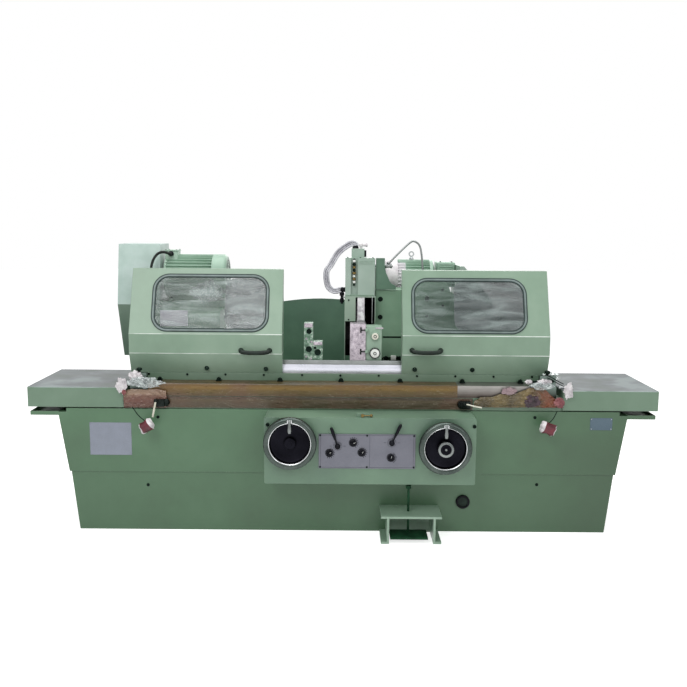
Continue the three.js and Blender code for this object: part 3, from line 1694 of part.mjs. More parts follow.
function coolantValve() {
  const left = wheelheadLeft - wheelGuardWall + seatGap;
  return join(
    rod('x', valveRadius * 0.6, left, valveX, 8),
    rod('x', valveRadius, valveX - valveLength / 2, valveX + valveLength / 2, 8),
    rod('z', valveRadius * 0.8, 0, valveRadius, 8).translate(valveX, 0, 0),
    rod('y', valveRadius * 0.6, -valveLength, 0, 8).translate(valveX, 0, 0),
  ).translate(0, pipeY, valveZ);
}

function coolantHose() {
  const capMiddle = guardBoxFrontY + guardBoxDepth / 2;
  const top = guardTopZ + seatGap + guardBoxHeight + guardCapHeight;
  const low = guardTopZ + guardBoxHeight * 0.16;
  const reach = guardBoxHeight * 0.5;
  return tube([
    [guardCapLeft + hoseRadius * 2, capMiddle, top + seatGap],
    [guardCapLeft + hoseRadius * 2, capMiddle, top + hoseRadius * 2],
    [guardCapLeft - hoseRadius, capMiddle - hoseRadius, top + hoseRadius * 2.2],
    [guardBoxLeft - reach * 0.36, hoseY, top - hoseRadius * 2],
    [guardBoxLeft - reach * 0.76, hoseY, top - reach * 0.85],
    [guardBoxLeft - reach, hoseY, low + reach * 0.9],
    [guardBoxLeft - reach * 0.92, hoseY, low + hoseRadius * 2],
    [guardBoxLeft - reach * 0.6, hoseY, low - hoseRadius * 0.6],
    [guardBoxLeft - hoseRadius * 2, hoseY, low],
    [guardBoxLeft - seatGap, hoseY, low],
  ], hoseRadius, 6, 22);
}

// Rear splash guard, a sheet with an arched top and a folded foot
function rearSplashGuard() {
  const foot = rearBedHeight + seatGap;
  const side = foot + splashSideHeight;
  const middle = (splashLeft + splashRight) / 2;
  const half = (splashRight - splashLeft) / 2;
  const arch = [];
  const archSteps = 10;
  for (let i = 0; i <= archSteps; i += 1) {
    const share = 1 - 2 * i / archSteps;
    arch.push([middle + half * share, side + splashArch * (1 - share * share)]);
  }
  return join(
    alongY([[splashLeft, foot], [splashRight, foot], ...arch], splashY, splashY + splashThick),
    block(splashLeft, splashRight, splashY, splashY + splashFoot, foot, foot + splashThick),
  );
}

// Assembly
const machine = new THREE.Group();

const fixed = new THREE.Group();
fixed.add(
  piece('bed', bed(), greenPaint),
  piece('front_apron', frontApron(), greenPaint),
  piece('control_plate', controlPlate(), platePaint),
  piece('reverse_lever', reverseLever(), redKnob, [reverseLeverX, 0, reversePivotZ]),
  piece('pedal_guard', pedalGuard(), greenPaint),
  piece('foot_pedal', footPedal(), groundSteel, [pedalX, 0, 0]),
  piece('oil_gauge', oilGauge(), blackPlastic, [gaugeX, bedFrontY + bedStepInset, gaugeZ]),
  piece('rear_splash_guard', rearSplashGuard(), darkGreenPaint),
);

const gripPlace = [0, gripY, gripPivotRadius];
const tableWheel = new THREE.Group();
tableWheel.position.set(tableWheelX, apronFrontY, tableWheelZ);
tableWheel.add(
  piece('table_handwheel', tableHandwheel(), chromeSteel),
  piece('table_wheel_grip', foldingGrip(), chromeSteel, gripPlace),
);

const infeedWheel = new THREE.Group();
infeedWheel.position.set(infeedWheelX, apronFrontY, infeedWheelZ);
infeedWheel.add(
  piece('infeed_handwheel', infeedHandwheel(), chromeSteel),
  piece('infeed_wheel_grip', foldingGrip(), chromeSteel, gripPlace),
  piece('fine_feed_knob', fineFeedKnob(), chromeSteel),
);

const controls = new THREE.Group();
controls.position.y = plateFrontY;
controls.add(
  piece('traverse_lever', lever(traverseLeverLean), blackPlastic, [traverseLeverX, 0, traverseLeverZ]),
  piece('approach_lever', lever(approachLeverLean), blackPlastic, [approachLeverX, 0, approachLeverZ]),
  piece('left_dwell_knob', knob(), blackPlastic, [leftDwellX, 0, leftDwellZ]),
  piece('table_speed_knob', knob(), blackPlastic, [speedKnobX, 0, speedKnobZ]),
  piece('right_dwell_knob', knob(), blackPlastic, [rightDwellX, 0, rightDwellZ]),
  piece('pump_switch', knob(), blackPlastic, [pumpSwitchX, 0, pumpSwitchZ]),
);

const table = new THREE.Group();
table.add(
  piece('lower_table', lowerTable(), castGreenPaint),
  piece('left_way_cover', wayCover(-1), greenPaint),
  piece('right_way_cover', wayCover(1), greenPaint),
  piece('lower_table_wrap', lowerWrap(), pinkPaper),
  piece('left_dog', tableDog(leftDogLever), groundSteel, [leftDogX, 0, 0]),
  piece('right_dog', tableDog(rightDogLever), groundSteel, [rightDogX, 0, 0]),
);

const leftHood = hood(leftHoodLeft, leftHoodRight, leftWindowLeft, leftWindowRight, leftHandleX);
const rightHood = hood(rightHoodLeft, rightHoodRight, rightWindowLeft, rightWindowRight, rightHandleX);

const swivelTable = new THREE.Group();
swivelTable.add(
  piece('upper_table', upperTable(), groundSteel),
  piece('hood_rail', hoodRail(), greenPaint),
  piece('upper_table_wrap', upperWrap(), amberPaper),
  piece('left_hood', leftHood, greenPaint),
  piece('left_hood_window', hoodWindow(leftWindowLeft, leftWindowRight), clearGlass),
  piece('right_hood', rightHood, greenPaint),
  piece('right_hood_window', hoodWindow(rightWindowLeft, rightWindowRight), clearGlass),
  piece('steady_rest', steadyRest(), castGreenPaint),
  piece('dial_rest', dialRest(), castGreenPaint),
  piece('upper_dial', restDial(upperDialRadius), groundSteel,
    [dialX, dialFaceY, tableTop + upperDialRise]),
  piece('lower_dial', restDial(lowerDialRadius), blackPlastic,
    [dialX, dialFaceY, tableTop + lowerDialRise]),
);

const headstock = new THREE.Group();
headstock.add(
  piece('headstock_body', headstockBody(), castGreenPaint),
  piece('driver_plate', driverPlate(), groundSteel, [0, 0, axisZ]),
  piece('headstock_centre', headstockCentre(), groundSteel, [0, 0, axisZ]),
  piece('headstock_motor', headstockMotor(), castGreenPaint),
  piece('headstock_motor_pulley', headstockPulley(headMotorPulley, headMotorLeft + headMotorFoot),
    groundSteel, [0, headMotorY, headMotorZ]),
  piece('headstock_input_pulley', headstockPulley(headInputPulley, headLeft + gearboxLength / 3),
    groundSteel, [0, inputShaftY, axisZ]),
  piece('headstock_belt', headstockBelt(), blackRubber),
  piece('headstock_belt_guard', headstockBeltGuard(), greenPaint),
  piece('motor_cable', motorCable(), blackRubber),
);

const tailstock = new THREE.Group();
tailstock.add(
  piece('tailstock_body', tailstockBody(), castGreenPaint),
  piece('tailstock_quill', tailstockQuill(), groundSteel, [0, 0, axisZ]),
  piece('tailstock_lever', tailstockLever(), groundSteel, [tailLeverX, 0, tableTop + tailLeverRise]),
);

const wheelhead = new THREE.Group();
wheelhead.add(
  piece('wheelhead_slide', wheelheadSlide(), greenPaint),
  piece('wheelhead_body', wheelheadBody(), castGreenPaint),
  piece('wheel_guard', wheelGuard(), greenPaint),
  piece('guard_top_box', guardTopBox(), greenPaint),
  piece('grinding_wheel', grindingWheel(), abrasive, [0, wheelAxisY, axisZ]),
  piece('wheel_spindle', wheelSpindle(), groundSteel, [0, wheelAxisY, axisZ]),
  piece('wheel_motor', wheelMotor(), castGreenPaint),
  piece('wheel_motor_pulley', wheelMotorPulleyPiece(), groundSteel, [0, wheelMotorY, wheelMotorZ]),
  piece('wheelhead_belt', wheelheadBelt(), blackRubber),
  piece('wheelhead_belt_guard', wheelheadBeltGuard(), greenPaint),
  piece('coolant_pipe', coolantPipe(), chromeSteel),
  piece('coolant_hose', coolantHose(), greyHose),
);

swivelTable.add(headstock, tailstock);
table.add(swivelTable);
machine.add(fixed, tableWheel, infeedWheel, controls, table, wheelhead);

export default machine;
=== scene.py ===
"""A cylindrical grinding machine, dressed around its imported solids.

Places and sizes are in millimetres, and MM turns them to metres. Only the places of the camera
and the lamps, the boxes' sizes and the floor's radius are given in metres."""

import math

import bmesh
import bpy
from mathutils import Matrix, Vector, noise


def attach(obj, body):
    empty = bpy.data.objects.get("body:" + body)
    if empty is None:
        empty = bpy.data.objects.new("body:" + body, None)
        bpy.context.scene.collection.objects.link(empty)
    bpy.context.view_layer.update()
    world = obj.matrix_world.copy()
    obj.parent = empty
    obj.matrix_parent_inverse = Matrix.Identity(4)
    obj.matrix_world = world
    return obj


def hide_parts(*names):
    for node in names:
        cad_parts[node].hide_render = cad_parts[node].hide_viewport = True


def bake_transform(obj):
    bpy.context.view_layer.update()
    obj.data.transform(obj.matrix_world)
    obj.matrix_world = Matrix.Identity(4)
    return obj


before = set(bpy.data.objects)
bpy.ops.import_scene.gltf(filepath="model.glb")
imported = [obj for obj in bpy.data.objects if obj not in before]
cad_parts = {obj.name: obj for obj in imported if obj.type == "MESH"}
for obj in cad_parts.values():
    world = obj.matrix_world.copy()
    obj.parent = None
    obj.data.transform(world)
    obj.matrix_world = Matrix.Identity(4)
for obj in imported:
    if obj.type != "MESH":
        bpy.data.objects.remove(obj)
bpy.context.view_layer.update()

MM = 0.001
AXES = {"x": Vector((1, 0, 0)), "y": Vector((0, 1, 0)), "z": Vector((0, 0, 1))}
SHARP_ANGLE = math.radians(32)


# Camera, studio and floor. The sensor and the lens are in millimetres
SENSOR, LENS = 36, 44.96
CAMERA_PLACE = (0, -5.1, 1.765)
LOOK_DOWN, ROLL = math.radians(7.86), math.radians(0.45)
FARTHEST_SEEN = 60
# Name, place, the point that it faces, size and power of each soft box
LAMPS = (("key_box", (-2.4, -4.8, 5.0), (0, 0, 0.8), 3.2, 150),
         ("fill_box", (3.4, -4.8, 3.2), (0, 0, 0.8), 3.0, 66),
         ("top_box", (0, 0.0, 5.2), (0, 0.1, 0.8), 4.0, 150),
         ("back_box", (0.5, 5.2, 3.6), (0, 0.6, 0.8), 3.2, 60))
FLOOR_RADIUS = 30
UNDER_FEET = 0.5


def camera():
    """The camera at the photograph's place, looking slightly down at the front."""
    data = bpy.data.cameras.new("photo_camera")
    data.sensor_width = SENSOR
    data.lens = LENS
    data.clip_end = FARTHEST_SEEN
    cam = bpy.data.objects.new("photo_camera", data)
    bpy.context.scene.collection.objects.link(cam)
    cam.location = CAMERA_PLACE
    level = Matrix.Rotation(math.pi / 2 - LOOK_DOWN, 4, "X")
    cam.rotation_euler = (level @ Matrix.Rotation(ROLL, 4, "Z")).to_euler()
    bpy.context.scene.camera = cam


def lamp(name, place, aim, size, power):
    """A square soft box that faces a point."""
    data = bpy.data.lights.new(name, "AREA")
    data.size = size
    data.energy = power
    obj = bpy.data.objects.new(name, data)
    bpy.context.scene.collection.objects.link(obj)
    obj.location = place
    obj.rotation_euler = (Vector(aim) - Vector(place)).to_track_quat("-Z", "Y").to_euler()


def looked_at(tree):
    """One on the rays that bring a surface to the eye, straight or by way of gloss or glass, and
    zero on the rays that only carry its light."""
    rays = add(tree, "LightPath").outputs
    seen = rays["Is Camera Ray"]
    for kind in ("Is Glossy Ray", "Is Transmission Ray"):
        seen = add(tree, "Math", {0: seen, 1: rays[kind]}, operation="MAXIMUM").outputs[0]
    return seen


def studio():
    """Even white surroundings, soft boxes and a pale floor that keeps the shadow."""
    world = bpy.data.worlds.new("studio")
    bpy.context.scene.world = world
    world.use_nodes = True
    tree = world.node_tree
    tree.nodes.clear()
    strength = add(tree, "MapRange", {"Value": looked_at(tree), "To Min": 0.3, "To Max": 1.0})
    light = add(tree, "Background", {"Color": (1, 1, 1, 1), "Strength": strength})
    add(tree, "OutputWorld", {"Surface": light})
    for each in LAMPS:
        lamp(*each)
    bm = bmesh.new()
    bmesh.ops.create_circle(bm, cap_ends=True, segments=64, radius=FLOOR_RADIUS)
    floor = mesh_object("floor", bm, [pale_floor()])
    floor.location.z = -UNDER_FEET * MM


# Shading
def linear(hex_colour):
    """A hex sRGB colour as linear red, green, blue and alpha."""
    parts = [int(hex_colour[i:i + 2], 16) / 255 for i in (1, 3, 5)]
    return (*[p / 12.92 if p <= 0.04045 else ((p + 0.055) / 1.055) ** 2.4 for p in parts], 1)


def output_of(source):
    """A node's first output; anything else is given back as it is."""
    return source.outputs[0] if isinstance(source, bpy.types.Node) else source


def add(tree, kind, inputs=None, stops=None, **settings):
    """Adds a node with its settings; each input is a value, another node or one output of it."""
    made = tree.nodes.new("ShaderNode" + kind)
    for name, value in settings.items():
        setattr(made, name, value)
    for key, value in (inputs or {}).items():
        value = output_of(value)
        if isinstance(value, bpy.types.NodeSocket):
            tree.links.new(value, made.inputs[key])
        else:
            made.inputs[key].default_value = value
    for i, (place, colour) in enumerate(stops or ()):
        ramp = made.color_ramp.elements
        stop = ramp[i] if i < 2 else ramp.new(place)
        stop.position = place
        stop.color = linear(colour)
    return made


def feed(tree, shader, colour=None, roughness=None, normal=None, alpha=None):
    """Leads outputs of nodes into the shader."""
    for name, output in (("Base Color", colour), ("Roughness", roughness), ("Normal", normal),
                         ("Alpha", alpha)):
        if output is not None:
            tree.links.new(output_of(output), shader.inputs[name])


def begin(name, roughness, metallic=0.0, **sockets):
    """A material with its shader, its output and its Object coordinates."""
    material = bpy.data.materials.new(name)
    material.use_nodes = True
    tree = material.node_tree
    tree.nodes.clear()
    shader = add(tree, "BsdfPrincipled", {"Roughness": roughness, "Metallic": metallic, **sockets})
    add(tree, "OutputMaterial", {"Surface": shader})
    place = add(tree, "TexCoord").outputs["Object"]
    return material, tree, shader, place


def pale_floor():
    """Smooth white studio board, which shows the object's soft shadow."""
    material, tree, shader, place = begin("white_board", 0.9)
    grain = add(tree, "TexNoise", {"Vector": place, "Scale": 3.0, "Detail": 4.0})
    tint = add(tree, "ValToRGB", {"Fac": grain}, stops=[(0.3, "#f4f4f3"), (0.7, "#f8f8f8")])
    feed(tree, shader, tint)
    glow = add(tree, "Emission", {"Color": (1, 1, 1, 1), "Strength": 0.72})
    none = add(tree, "Emission", {"Strength": 0.0})
    lit = add(tree, "MixShader", {0: looked_at(tree), 1: none, 2: glow})
    both = add(tree, "AddShader", {0: shader, 1: lit})
    end = next(n for n in tree.nodes if n.type == "OUTPUT_MATERIAL")
    tree.links.new(both.outputs[0], end.inputs["Surface"])
    return material


# The cosine of the angle between a face and its rounded edge where the rubbing starts and where
# it is full, and the filler that shows there
RUB_STARTS, RUB_FULL = 0.96, 0.8
RUBBED = "#cbd8cc"


def enamel(name, low, middle, high, roughness, peel_mm=2.2, peel=0.12, rounding_mm=2.0,
           patch_mm=380.0):
    """Sprayed and brushed machine enamel over filler: uneven in tone over a hand's width,
    faintly dimpled by the spray, rounded and slightly rubbed along its edges."""
    material, tree, shader, place = begin(name, roughness, **{"Coat Weight": 0.12,
                                                              "Coat Roughness": 0.25})
    cloud = add(tree, "TexNoise", {"Vector": place, "Scale": 1 / (patch_mm * MM), "Detail": 5.0,
                                   "Roughness": 0.55})
    tone = add(tree, "ValToRGB", {"Fac": cloud}, stops=[(0.3, low), (0.7, high), (0.5, middle)])
    rounding = add(tree, "Bevel", {"Radius": rounding_mm * MM}, samples=6)
    truth = add(tree, "NewGeometry").outputs["Normal"]
    turn = add(tree, "VectorMath", {0: rounding, 1: truth}, operation="DOT_PRODUCT")
    chips = add(tree, "TexNoise", {"Vector": place, "Scale": 46.0, "Detail": 3.0})
    edge = add(tree, "MapRange", {"Value": turn.outputs["Value"], "From Min": RUB_STARTS,
                                  "From Max": RUB_FULL})
    spot = add(tree, "MapRange", {"Value": chips, "From Min": 0.5, "From Max": 0.66,
                                  "To Max": 0.7})
    rub = add(tree, "Math", {0: edge, 1: spot}, operation="MULTIPLY")
    colour = add(tree, "Mix", {"Factor": rub, 6: tone, 7: linear(RUBBED)}, data_type="RGBA")
    skin = add(tree, "TexNoise", {"Vector": place, "Scale": 1 / (peel_mm * MM), "Detail": 1.0})
    bump = add(tree, "Bump", {"Strength": peel, "Distance": 0.3 * MM, "Height": skin,
                              "Normal": rounding})
    gloss = add(tree, "MapRange", {"Value": cloud, "To Min": roughness - 0.08,
                                   "To Max": roughness + 0.1})
    feed(tree, shader, colour.outputs[2], gloss, bump)
    return material


def where(tree, place, axis, low=None, high=None):
    """One where a coordinate lies between two values in millimetres, and zero elsewhere."""
    value = add(tree, "SeparateXYZ", {0: place}).outputs[axis]
    found = None
    for limit, side in ((low, "GREATER_THAN"), (high, "LESS_THAN")):
        if limit is not None:
            test = add(tree, "Math", {0: value, 1: limit * MM}, operation=side).outputs[0]
            found = test if found is None else add(tree, "Math", {0: found, 1: test},
                                                   operation="MULTIPLY").outputs[0]
    return found


def colour_of(material):
    """A finished material's tree and shader, the colour that it has so far, and its place."""
    tree = material.node_tree
    shader = next(n for n in tree.nodes if n.type == "BSDF_PRINCIPLED")
    first = shader.inputs["Base Color"].links[0].from_socket
    place = next(n for n in tree.nodes if n.type == "TEX_COORD").outputs["Object"]
    return tree, shader, first, place


def overpaint(material, colour, *bounds):
    """Another colour on the part of a piece that lies between bounds of axis, low and high."""
    tree, shader, first, place = colour_of(material)
    inside = None
    for axis, low, high in bounds:
        found = where(tree, place, axis, low, high)
        inside = found if inside is None else add(tree, "Math", {0: inside, 1: found},
                                                  operation="MULTIPLY").outputs[0]
    mixed = add(tree, "Mix", {"Factor": inside, 6: first, 7: linear(colour)}, data_type="RGBA")
    feed(tree, shader, mixed.outputs[2])
    return material


def darker_towards(material, axis, low, high, shade):
    """Darkens the colour by degrees from one coordinate to another."""
    tree, shader, first, place = colour_of(material)
    value = add(tree, "SeparateXYZ", {0: place}).outputs[axis]
    share = add(tree, "MapRange", {"Value": value, "From Min": low * MM, "From Max": high * MM})
    mixed = add(tree, "Mix", {"Factor": share, 6: first, 7: linear(shade)}, data_type="RGBA",
                blend_type="MULTIPLY")
    feed(tree, shader, mixed.outputs[2])
    return material


def stays_on_surface(material):
    """Makes a material's patterns read the place at rest instead of the place in the scene."""
    tree = material.node_tree
    for link in [one for one in tree.links if one.from_node.type == "TEX_COORD"]:
        place = add(tree, "Attribute", attribute_name="rest_place")
        tree.links.new(place.outputs["Vector"], link.to_socket)
    return material


def painted_fold_highlights(material, colour, half_mm, *heights):
    """Pale lines, stronger and fainter by turns, painted along bends as highlights."""
    tree, shader, first, place = colour_of(material)
    flicker = add(tree, "TexNoise", {"Vector": place, "Scale": 5.0, "Detail": 3.0})
    share = add(tree, "MapRange", {"Value": flicker, "From Min": 0.42, "From Max": 0.58,
                                   "To Min": 0.25, "To Max": 0.95})
    for height in heights:
        band = where(tree, place, "Z", height - half_mm, height + half_mm)
        both = add(tree, "Math", {0: band, 1: share}, operation="MULTIPLY")
        mixed = add(tree, "Mix", {"Factor": both, 6: first, 7: linear(colour)}, data_type="RGBA")
        first = mixed.outputs[2]
    feed(tree, shader, first)
    return material


def painted_top_reflection(material, low, middle, high, patch_mm):
    """Another, cloudier tone on the faces that look up: a painted reflection."""
    tree, shader, first, place = colour_of(material)
    truth = add(tree, "NewGeometry").outputs["Normal"]
    rise = add(tree, "SeparateXYZ", {0: truth}).outputs["Z"]
    up = add(tree, "Math", {0: rise, 1: 0.9}, operation="GREATER_THAN")
    cloud = add(tree, "TexNoise", {"Vector": place, "Scale": 1 / (patch_mm * MM), "Detail": 3.0})
    tone = add(tree, "ValToRGB", {"Fac": cloud}, stops=[(0.36, low), (0.64, high), (0.5, middle)])
    mixed = add(tree, "Mix", {"Factor": up, 6: first, 7: tone}, data_type="RGBA")
    feed(tree, shader, mixed.outputs[2])
    return material


def metal(name, low, high, roughness, lines_mm=0.0, along="x", rounding_mm=0.8, spread=0.08,
          patch_mm=110.0):
    """Bare metal as a tool leaves it: fine lines along one axis, or an even satin."""
    material, tree, shader, place = begin(name, roughness, 1.0)
    stretch = [0.5, 0.5, 0.5]
    scale = 1 / (max(lines_mm, 1.5) * MM)
    if lines_mm:
        stretch = [1.0, 1.0, 1.0]
        stretch["xyz".index(along)] = 0.02
    laid = add(tree, "Mapping", {"Vector": place, "Scale": stretch})
    grain = add(tree, "TexNoise", {"Vector": laid, "Scale": scale, "Detail": 2.0})
    cloud = add(tree, "TexNoise", {"Vector": place, "Scale": 1 / (patch_mm * MM), "Detail": 4.0})
    both = add(tree, "Mix", {0: 0.5, 2: grain, 3: cloud})
    tone = add(tree, "ValToRGB", {"Fac": both}, stops=[(0.35, low), (0.65, high)])
    gloss = add(tree, "MapRange", {"Value": both, "From Min": 0.3, "From Max": 0.7,
                                   "To Min": roughness - spread, "To Max": roughness + spread})
    rounding = add(tree, "Bevel", {"Radius": rounding_mm * MM}, samples=4)
    bump = add(tree, "Bump", {"Strength": 0.1, "Distance": 0.1 * MM, "Height": grain,
                              "Normal": rounding})
    feed(tree, shader, tone, gloss, bump)
    return material


def moulded(name, low, high, roughness, grain_mm=1.5, depth=0.06, gloss_level=0.5):
    """Moulded plastic or rubber: one colour with a faint bloom and a fine dull grain."""
    material, tree, shader, place = begin(name, roughness, **{"Specular IOR Level": gloss_level})
    bloom = add(tree, "TexNoise", {"Vector": place, "Scale": 18.0, "Detail": 4.0})
    tone = add(tree, "ValToRGB", {"Fac": bloom}, stops=[(0.35, low), (0.7, high)])
    grain = add(tree, "TexNoise", {"Vector": place, "Scale": 1 / (grain_mm * MM)})
    bump = add(tree, "Bump", {"Strength": depth, "Distance": 0.2 * MM, "Height": grain})
    gloss = add(tree, "MapRange", {"Value": bloom, "To Min": roughness - 0.06,
                                   "To Max": roughness + 0.1})
    feed(tree, shader, tone, gloss, bump)
    return material


def clear_sheet(name, tint, bare, laden, roughness, smear_mm, squeeze=(1, 1, 1), strength=0.1,
                pale="#dfe8e6"):
    """Clear plastic, mostly seen through, with uneven pale smears, partly painted highlight."""
    material, tree, shader, place = begin(name, roughness, **{"IOR": 1.5})
    laid = add(tree, "Mapping", {"Vector": place, "Scale": squeeze})
    wave = add(tree, "TexNoise", {"Vector": laid, "Scale": 1 / (smear_mm * MM), "Detail": 4.0,
                                  "Distortion": 0.8})
    shade = add(tree, "ValToRGB", {"Fac": wave}, stops=[(0.35, tint), (0.65, pale)])
    haze = add(tree, "MapRange", {"Value": wave, "From Min": 0.46, "From Max": 0.68,
                                  "To Min": bare, "To Max": laden})
    bump = add(tree, "Bump", {"Strength": strength, "Distance": 2 * MM, "Height": wave})
    feed(tree, shader, shade, normal=bump, alpha=haze)
    return material


# Painted highlight along the fine creases of the papers and films
PAINTED_CREASE_HIGHLIGHT = "#c9bda4"


def waxed_paper(name, axis, low, high, bands, fold_mm=9.0, stain="#5b3a2b", clear=1.0,
                stretch=0.1):
    """Oiled wrapping paper or film stuck to a face: bands of tone along one axis, stains, long
    folds, and pale lines painted along fine creases as highlights."""
    material, tree, shader, place = begin(name, 0.42, **{"Coat Weight": 0.2,
                                                         "Coat Roughness": 0.25})
    laid = add(tree, "Mapping", {"Vector": place, "Scale": (stretch, 1.0, 1.0)})
    folds = add(tree, "TexNoise", {"Vector": laid, "Scale": 1 / (fold_mm * MM), "Detail": 3.0,
                                   "Distortion": 0.4})
    value = add(tree, "SeparateXYZ", {0: place}).outputs[axis]
    level = add(tree, "MapRange", {"Value": value, "From Min": low * MM, "From Max": high * MM})
    wander = add(tree, "Math", {0: folds, 1: 0.24, 2: -0.12}, operation="MULTIPLY_ADD")
    height = add(tree, "Math", {0: level, 1: wander})
    tone = add(tree, "ValToRGB", {"Fac": height}, stops=bands)
    cloud = add(tree, "TexNoise", {"Vector": place, "Scale": 5.0, "Detail": 5.0})
    dirt = add(tree, "MapRange", {"Value": cloud, "From Min": 0.45, "From Max": 0.75,
                                  "To Max": 0.55})
    stained = add(tree, "Mix", {"Factor": dirt, 6: tone, 7: linear(stain)}, data_type="RGBA")
    narrow = add(tree, "Mapping", {"Vector": place, "Scale": (0.3, 1.0, 1.0)})
    creases = add(tree, "TexNoise", {"Vector": narrow, "Scale": 1 / (30 * MM), "Detail": 3.0,
                                     "Distortion": 1.2})
    off = add(tree, "Math", {0: creases, 1: 0.5}, operation="SUBTRACT")
    off = add(tree, "Math", {0: off}, operation="ABSOLUTE")
    line = add(tree, "MapRange", {"Value": off, "From Max": 0.009, "To Min": 0.22, "To Max": 0.0})
    lit = add(tree, "Mix", {"Factor": line, 6: stained.outputs[2], 7: linear(PAINTED_CREASE_HIGHLIGHT)},
              data_type="RGBA")
    relief = add(tree, "Math", {0: creases, 1: folds})
    bump = add(tree, "Bump", {"Strength": 0.4, "Distance": 3 * MM, "Height": relief})
    feed(tree, shader, lit.outputs[2], normal=bump)
    shader.inputs["Alpha"].default_value = clear
    return material


def grit(name, low, high):
    """Vitrified abrasive: open grains, chalky white with grey loading."""
    material, tree, shader, place = begin(name, 0.95)
    grains = add(tree, "TexVoronoi", {"Vector": place, "Scale": 1 / (4 * MM)})
    cloud = add(tree, "TexNoise", {"Vector": place, "Scale": 40.0, "Detail": 5.0})
    tone = add(tree, "ValToRGB", {"Fac": cloud}, stops=[(0.35, low), (0.62, high)])
    bump = add(tree, "Bump", {"Strength": 0.5, "Distance": 0.6 * MM,
                              "Height": grains.outputs["Distance"]})
    feed(tree, shader, tone, normal=bump)
    return material


# Sprayed enamels: uneven in tone and rubbed pale along edges, with painted highlights along bends,
# painted shade towards the right and the foot of the bed, inside the wheel guard and in a darker
# copy for parts in shade, and a painted reflection on the way covers' tops. They tell the eye that
# this is a painted casting or a bent sheet that has stood in a shop
HOOD_GREEN = enamel("hood_enamel", "#7f9985", "#8ba591", "#98b19e", 0.36)
# Painted highlights: pale lines along the two bends of the hood sheet
HOOD_SHEET = painted_fold_highlights(enamel("hood_sheet_enamel", "#778f7b", "#809a85", "#8ca490", 0.36,
                                 rounding_mm=3.0), "#e9f1ea", 2.2, 1024.3, 1137.3)
PALE_GREEN = enamel("guard_enamel", "#8ca495", "#9db1a4", "#afbfb6", 0.36)
APRON_GREEN = enamel("apron_enamel", "#577060", "#617d68", "#6d8a73", 0.4)
BED_GREEN = enamel("bed_enamel", "#4b6a4f", "#517356", "#597a5e", 0.4)
# Painted shade: the bed darkens towards its right end and towards its foot, where less light falls
darker_towards(BED_GREEN, "X", 700, 1600, "#ced2cb")
darker_towards(BED_GREEN, "Z", 620, 150, "#dde2dd")
TABLE_GREEN = enamel("table_enamel", "#5e7863", "#67806b", "#718875", 0.38)
# Way covers: a painted highlight along the front edge of the top, and a painted reflection, cloudy
# and bluish grey, on the faces that look up
WAY_GREEN = painted_top_reflection(painted_fold_highlights(enamel("way_cover_enamel", "#5f7964", "#69836e", "#738c78",
                                              0.38), "#b9c9c6", 2.0, 839),
                          "#424f4a", "#555d60", "#748080", 200.0)
HEAD_GUARD = enamel("head_guard_enamel", "#9bb3aa", "#aec4bc", "#bfd0cc", 0.3, patch_mm=200)
overpaint(HEAD_GUARD, "#77907e", ("Z", 0, 1281))
CAST_GREEN = enamel("casting_enamel", "#61816a", "#72957a", "#83a68a", 0.46, 4.0, 0.3)
# Painted shade: the inside of the guard, behind its open front, is painted near black
WHEEL_GUARD_GREEN = overpaint(enamel("wheel_guard_enamel", "#809985", "#8fa593", "#9eb2a1", 0.4),
                              "#0d1211", ("X", 9.7, 190.3), ("Y", 138.4, 592.3),
                              ("Z", 860, 1327.4))
MOTOR_GREEN = enamel("motor_enamel", "#88a793", "#98b6a2", "#a8c4b1", 0.42, 3.0, 0.2)
WRAPPED_MOTOR = overpaint(enamel("wrapped_motor_enamel", "#89a894", "#98b6a2", "#a8c3b2", 0.42,
                                 3.0, 0.2), "#e9e7ea", ("X", 330, 402), ("Z", 1250, 1524))
REST_GREEN = enamel("rest_enamel", "#33503f", "#6d8c77", "#c9d6cb", 0.5, 5.0, 0.4,
                    patch_mm=17.0)
# Painted shade: a darker copy of the machine green for the splash guard, the guard's shoulder
# plate and the plate under the pulley cover, which lie in shade
SHADE_GREEN = enamel("painted_shade_enamel", "#476453", "#537560", "#658870", 0.42)
# Bare metals: fine lines where a tool ran, an even satin where they are cast, plated or rolled.
# They tell the eye which faces are worked and slide or turn, and which plates are left bare
PLATE_GREY = metal("printed_aluminium", "#62636b", "#71727a", 0.5, rounding_mm=0.3)
PLATE_PALE = metal("bare_aluminium", "#747982", "#808590", 0.5, rounding_mm=0.3, patch_mm=60)
PLATE_BLUE = metal("blued_aluminium", "#4c5a63", "#5a6872", 0.5, rounding_mm=0.3)
TABLE_IRON = overpaint(metal("oiled_table_iron", "#7d7b78", "#9b9894", 0.42, 1.5, "x"),
                       "#63706a", ("X", -1300, -1112))
overpaint(TABLE_IRON, "#63706a", ("X", 1112, 1300))
darker_towards(TABLE_IRON, "Z", 856, 800, "#8d837e")
LIP_STEEL = metal("ground_lip", "#c3c5cf", "#dcdde6", 0.3, 2.0, "x")
TURNED_STEEL = metal("turned_steel", "#a9acad", "#d0d2d3", 0.32, 1.2, "y")
SATIN_STEEL = metal("satin_steel", "#8f9394", "#c0c3c4", 0.4)
DULL_STEEL = metal("dull_steel_pipe", "#6d7170", "#969a99", 0.4)
MOTTLED_IRON = metal("scraped_iron", "#756e76", "#c5bcc3", 0.5, spread=0.15, patch_mm=16.0)
CHROME = metal("chrome_plate", "#b9bcbd", "#e2e4e5", 0.14, rounding_mm=1.2, spread=0.05)
GRIP_STEEL = metal("dull_grip_steel", "#5b605f", "#8b8f8e", 0.3, rounding_mm=1.0)
DARK_DISH = metal("blackened_iron", "#0c0c10", "#1b1b21", 0.4)
RIM_GREY = metal("grey_plated_rim", "#333b38", "#555d59", 0.28, rounding_mm=1.0)
BRASS = metal("brass", "#5f4f33", "#8a7648", 0.45)
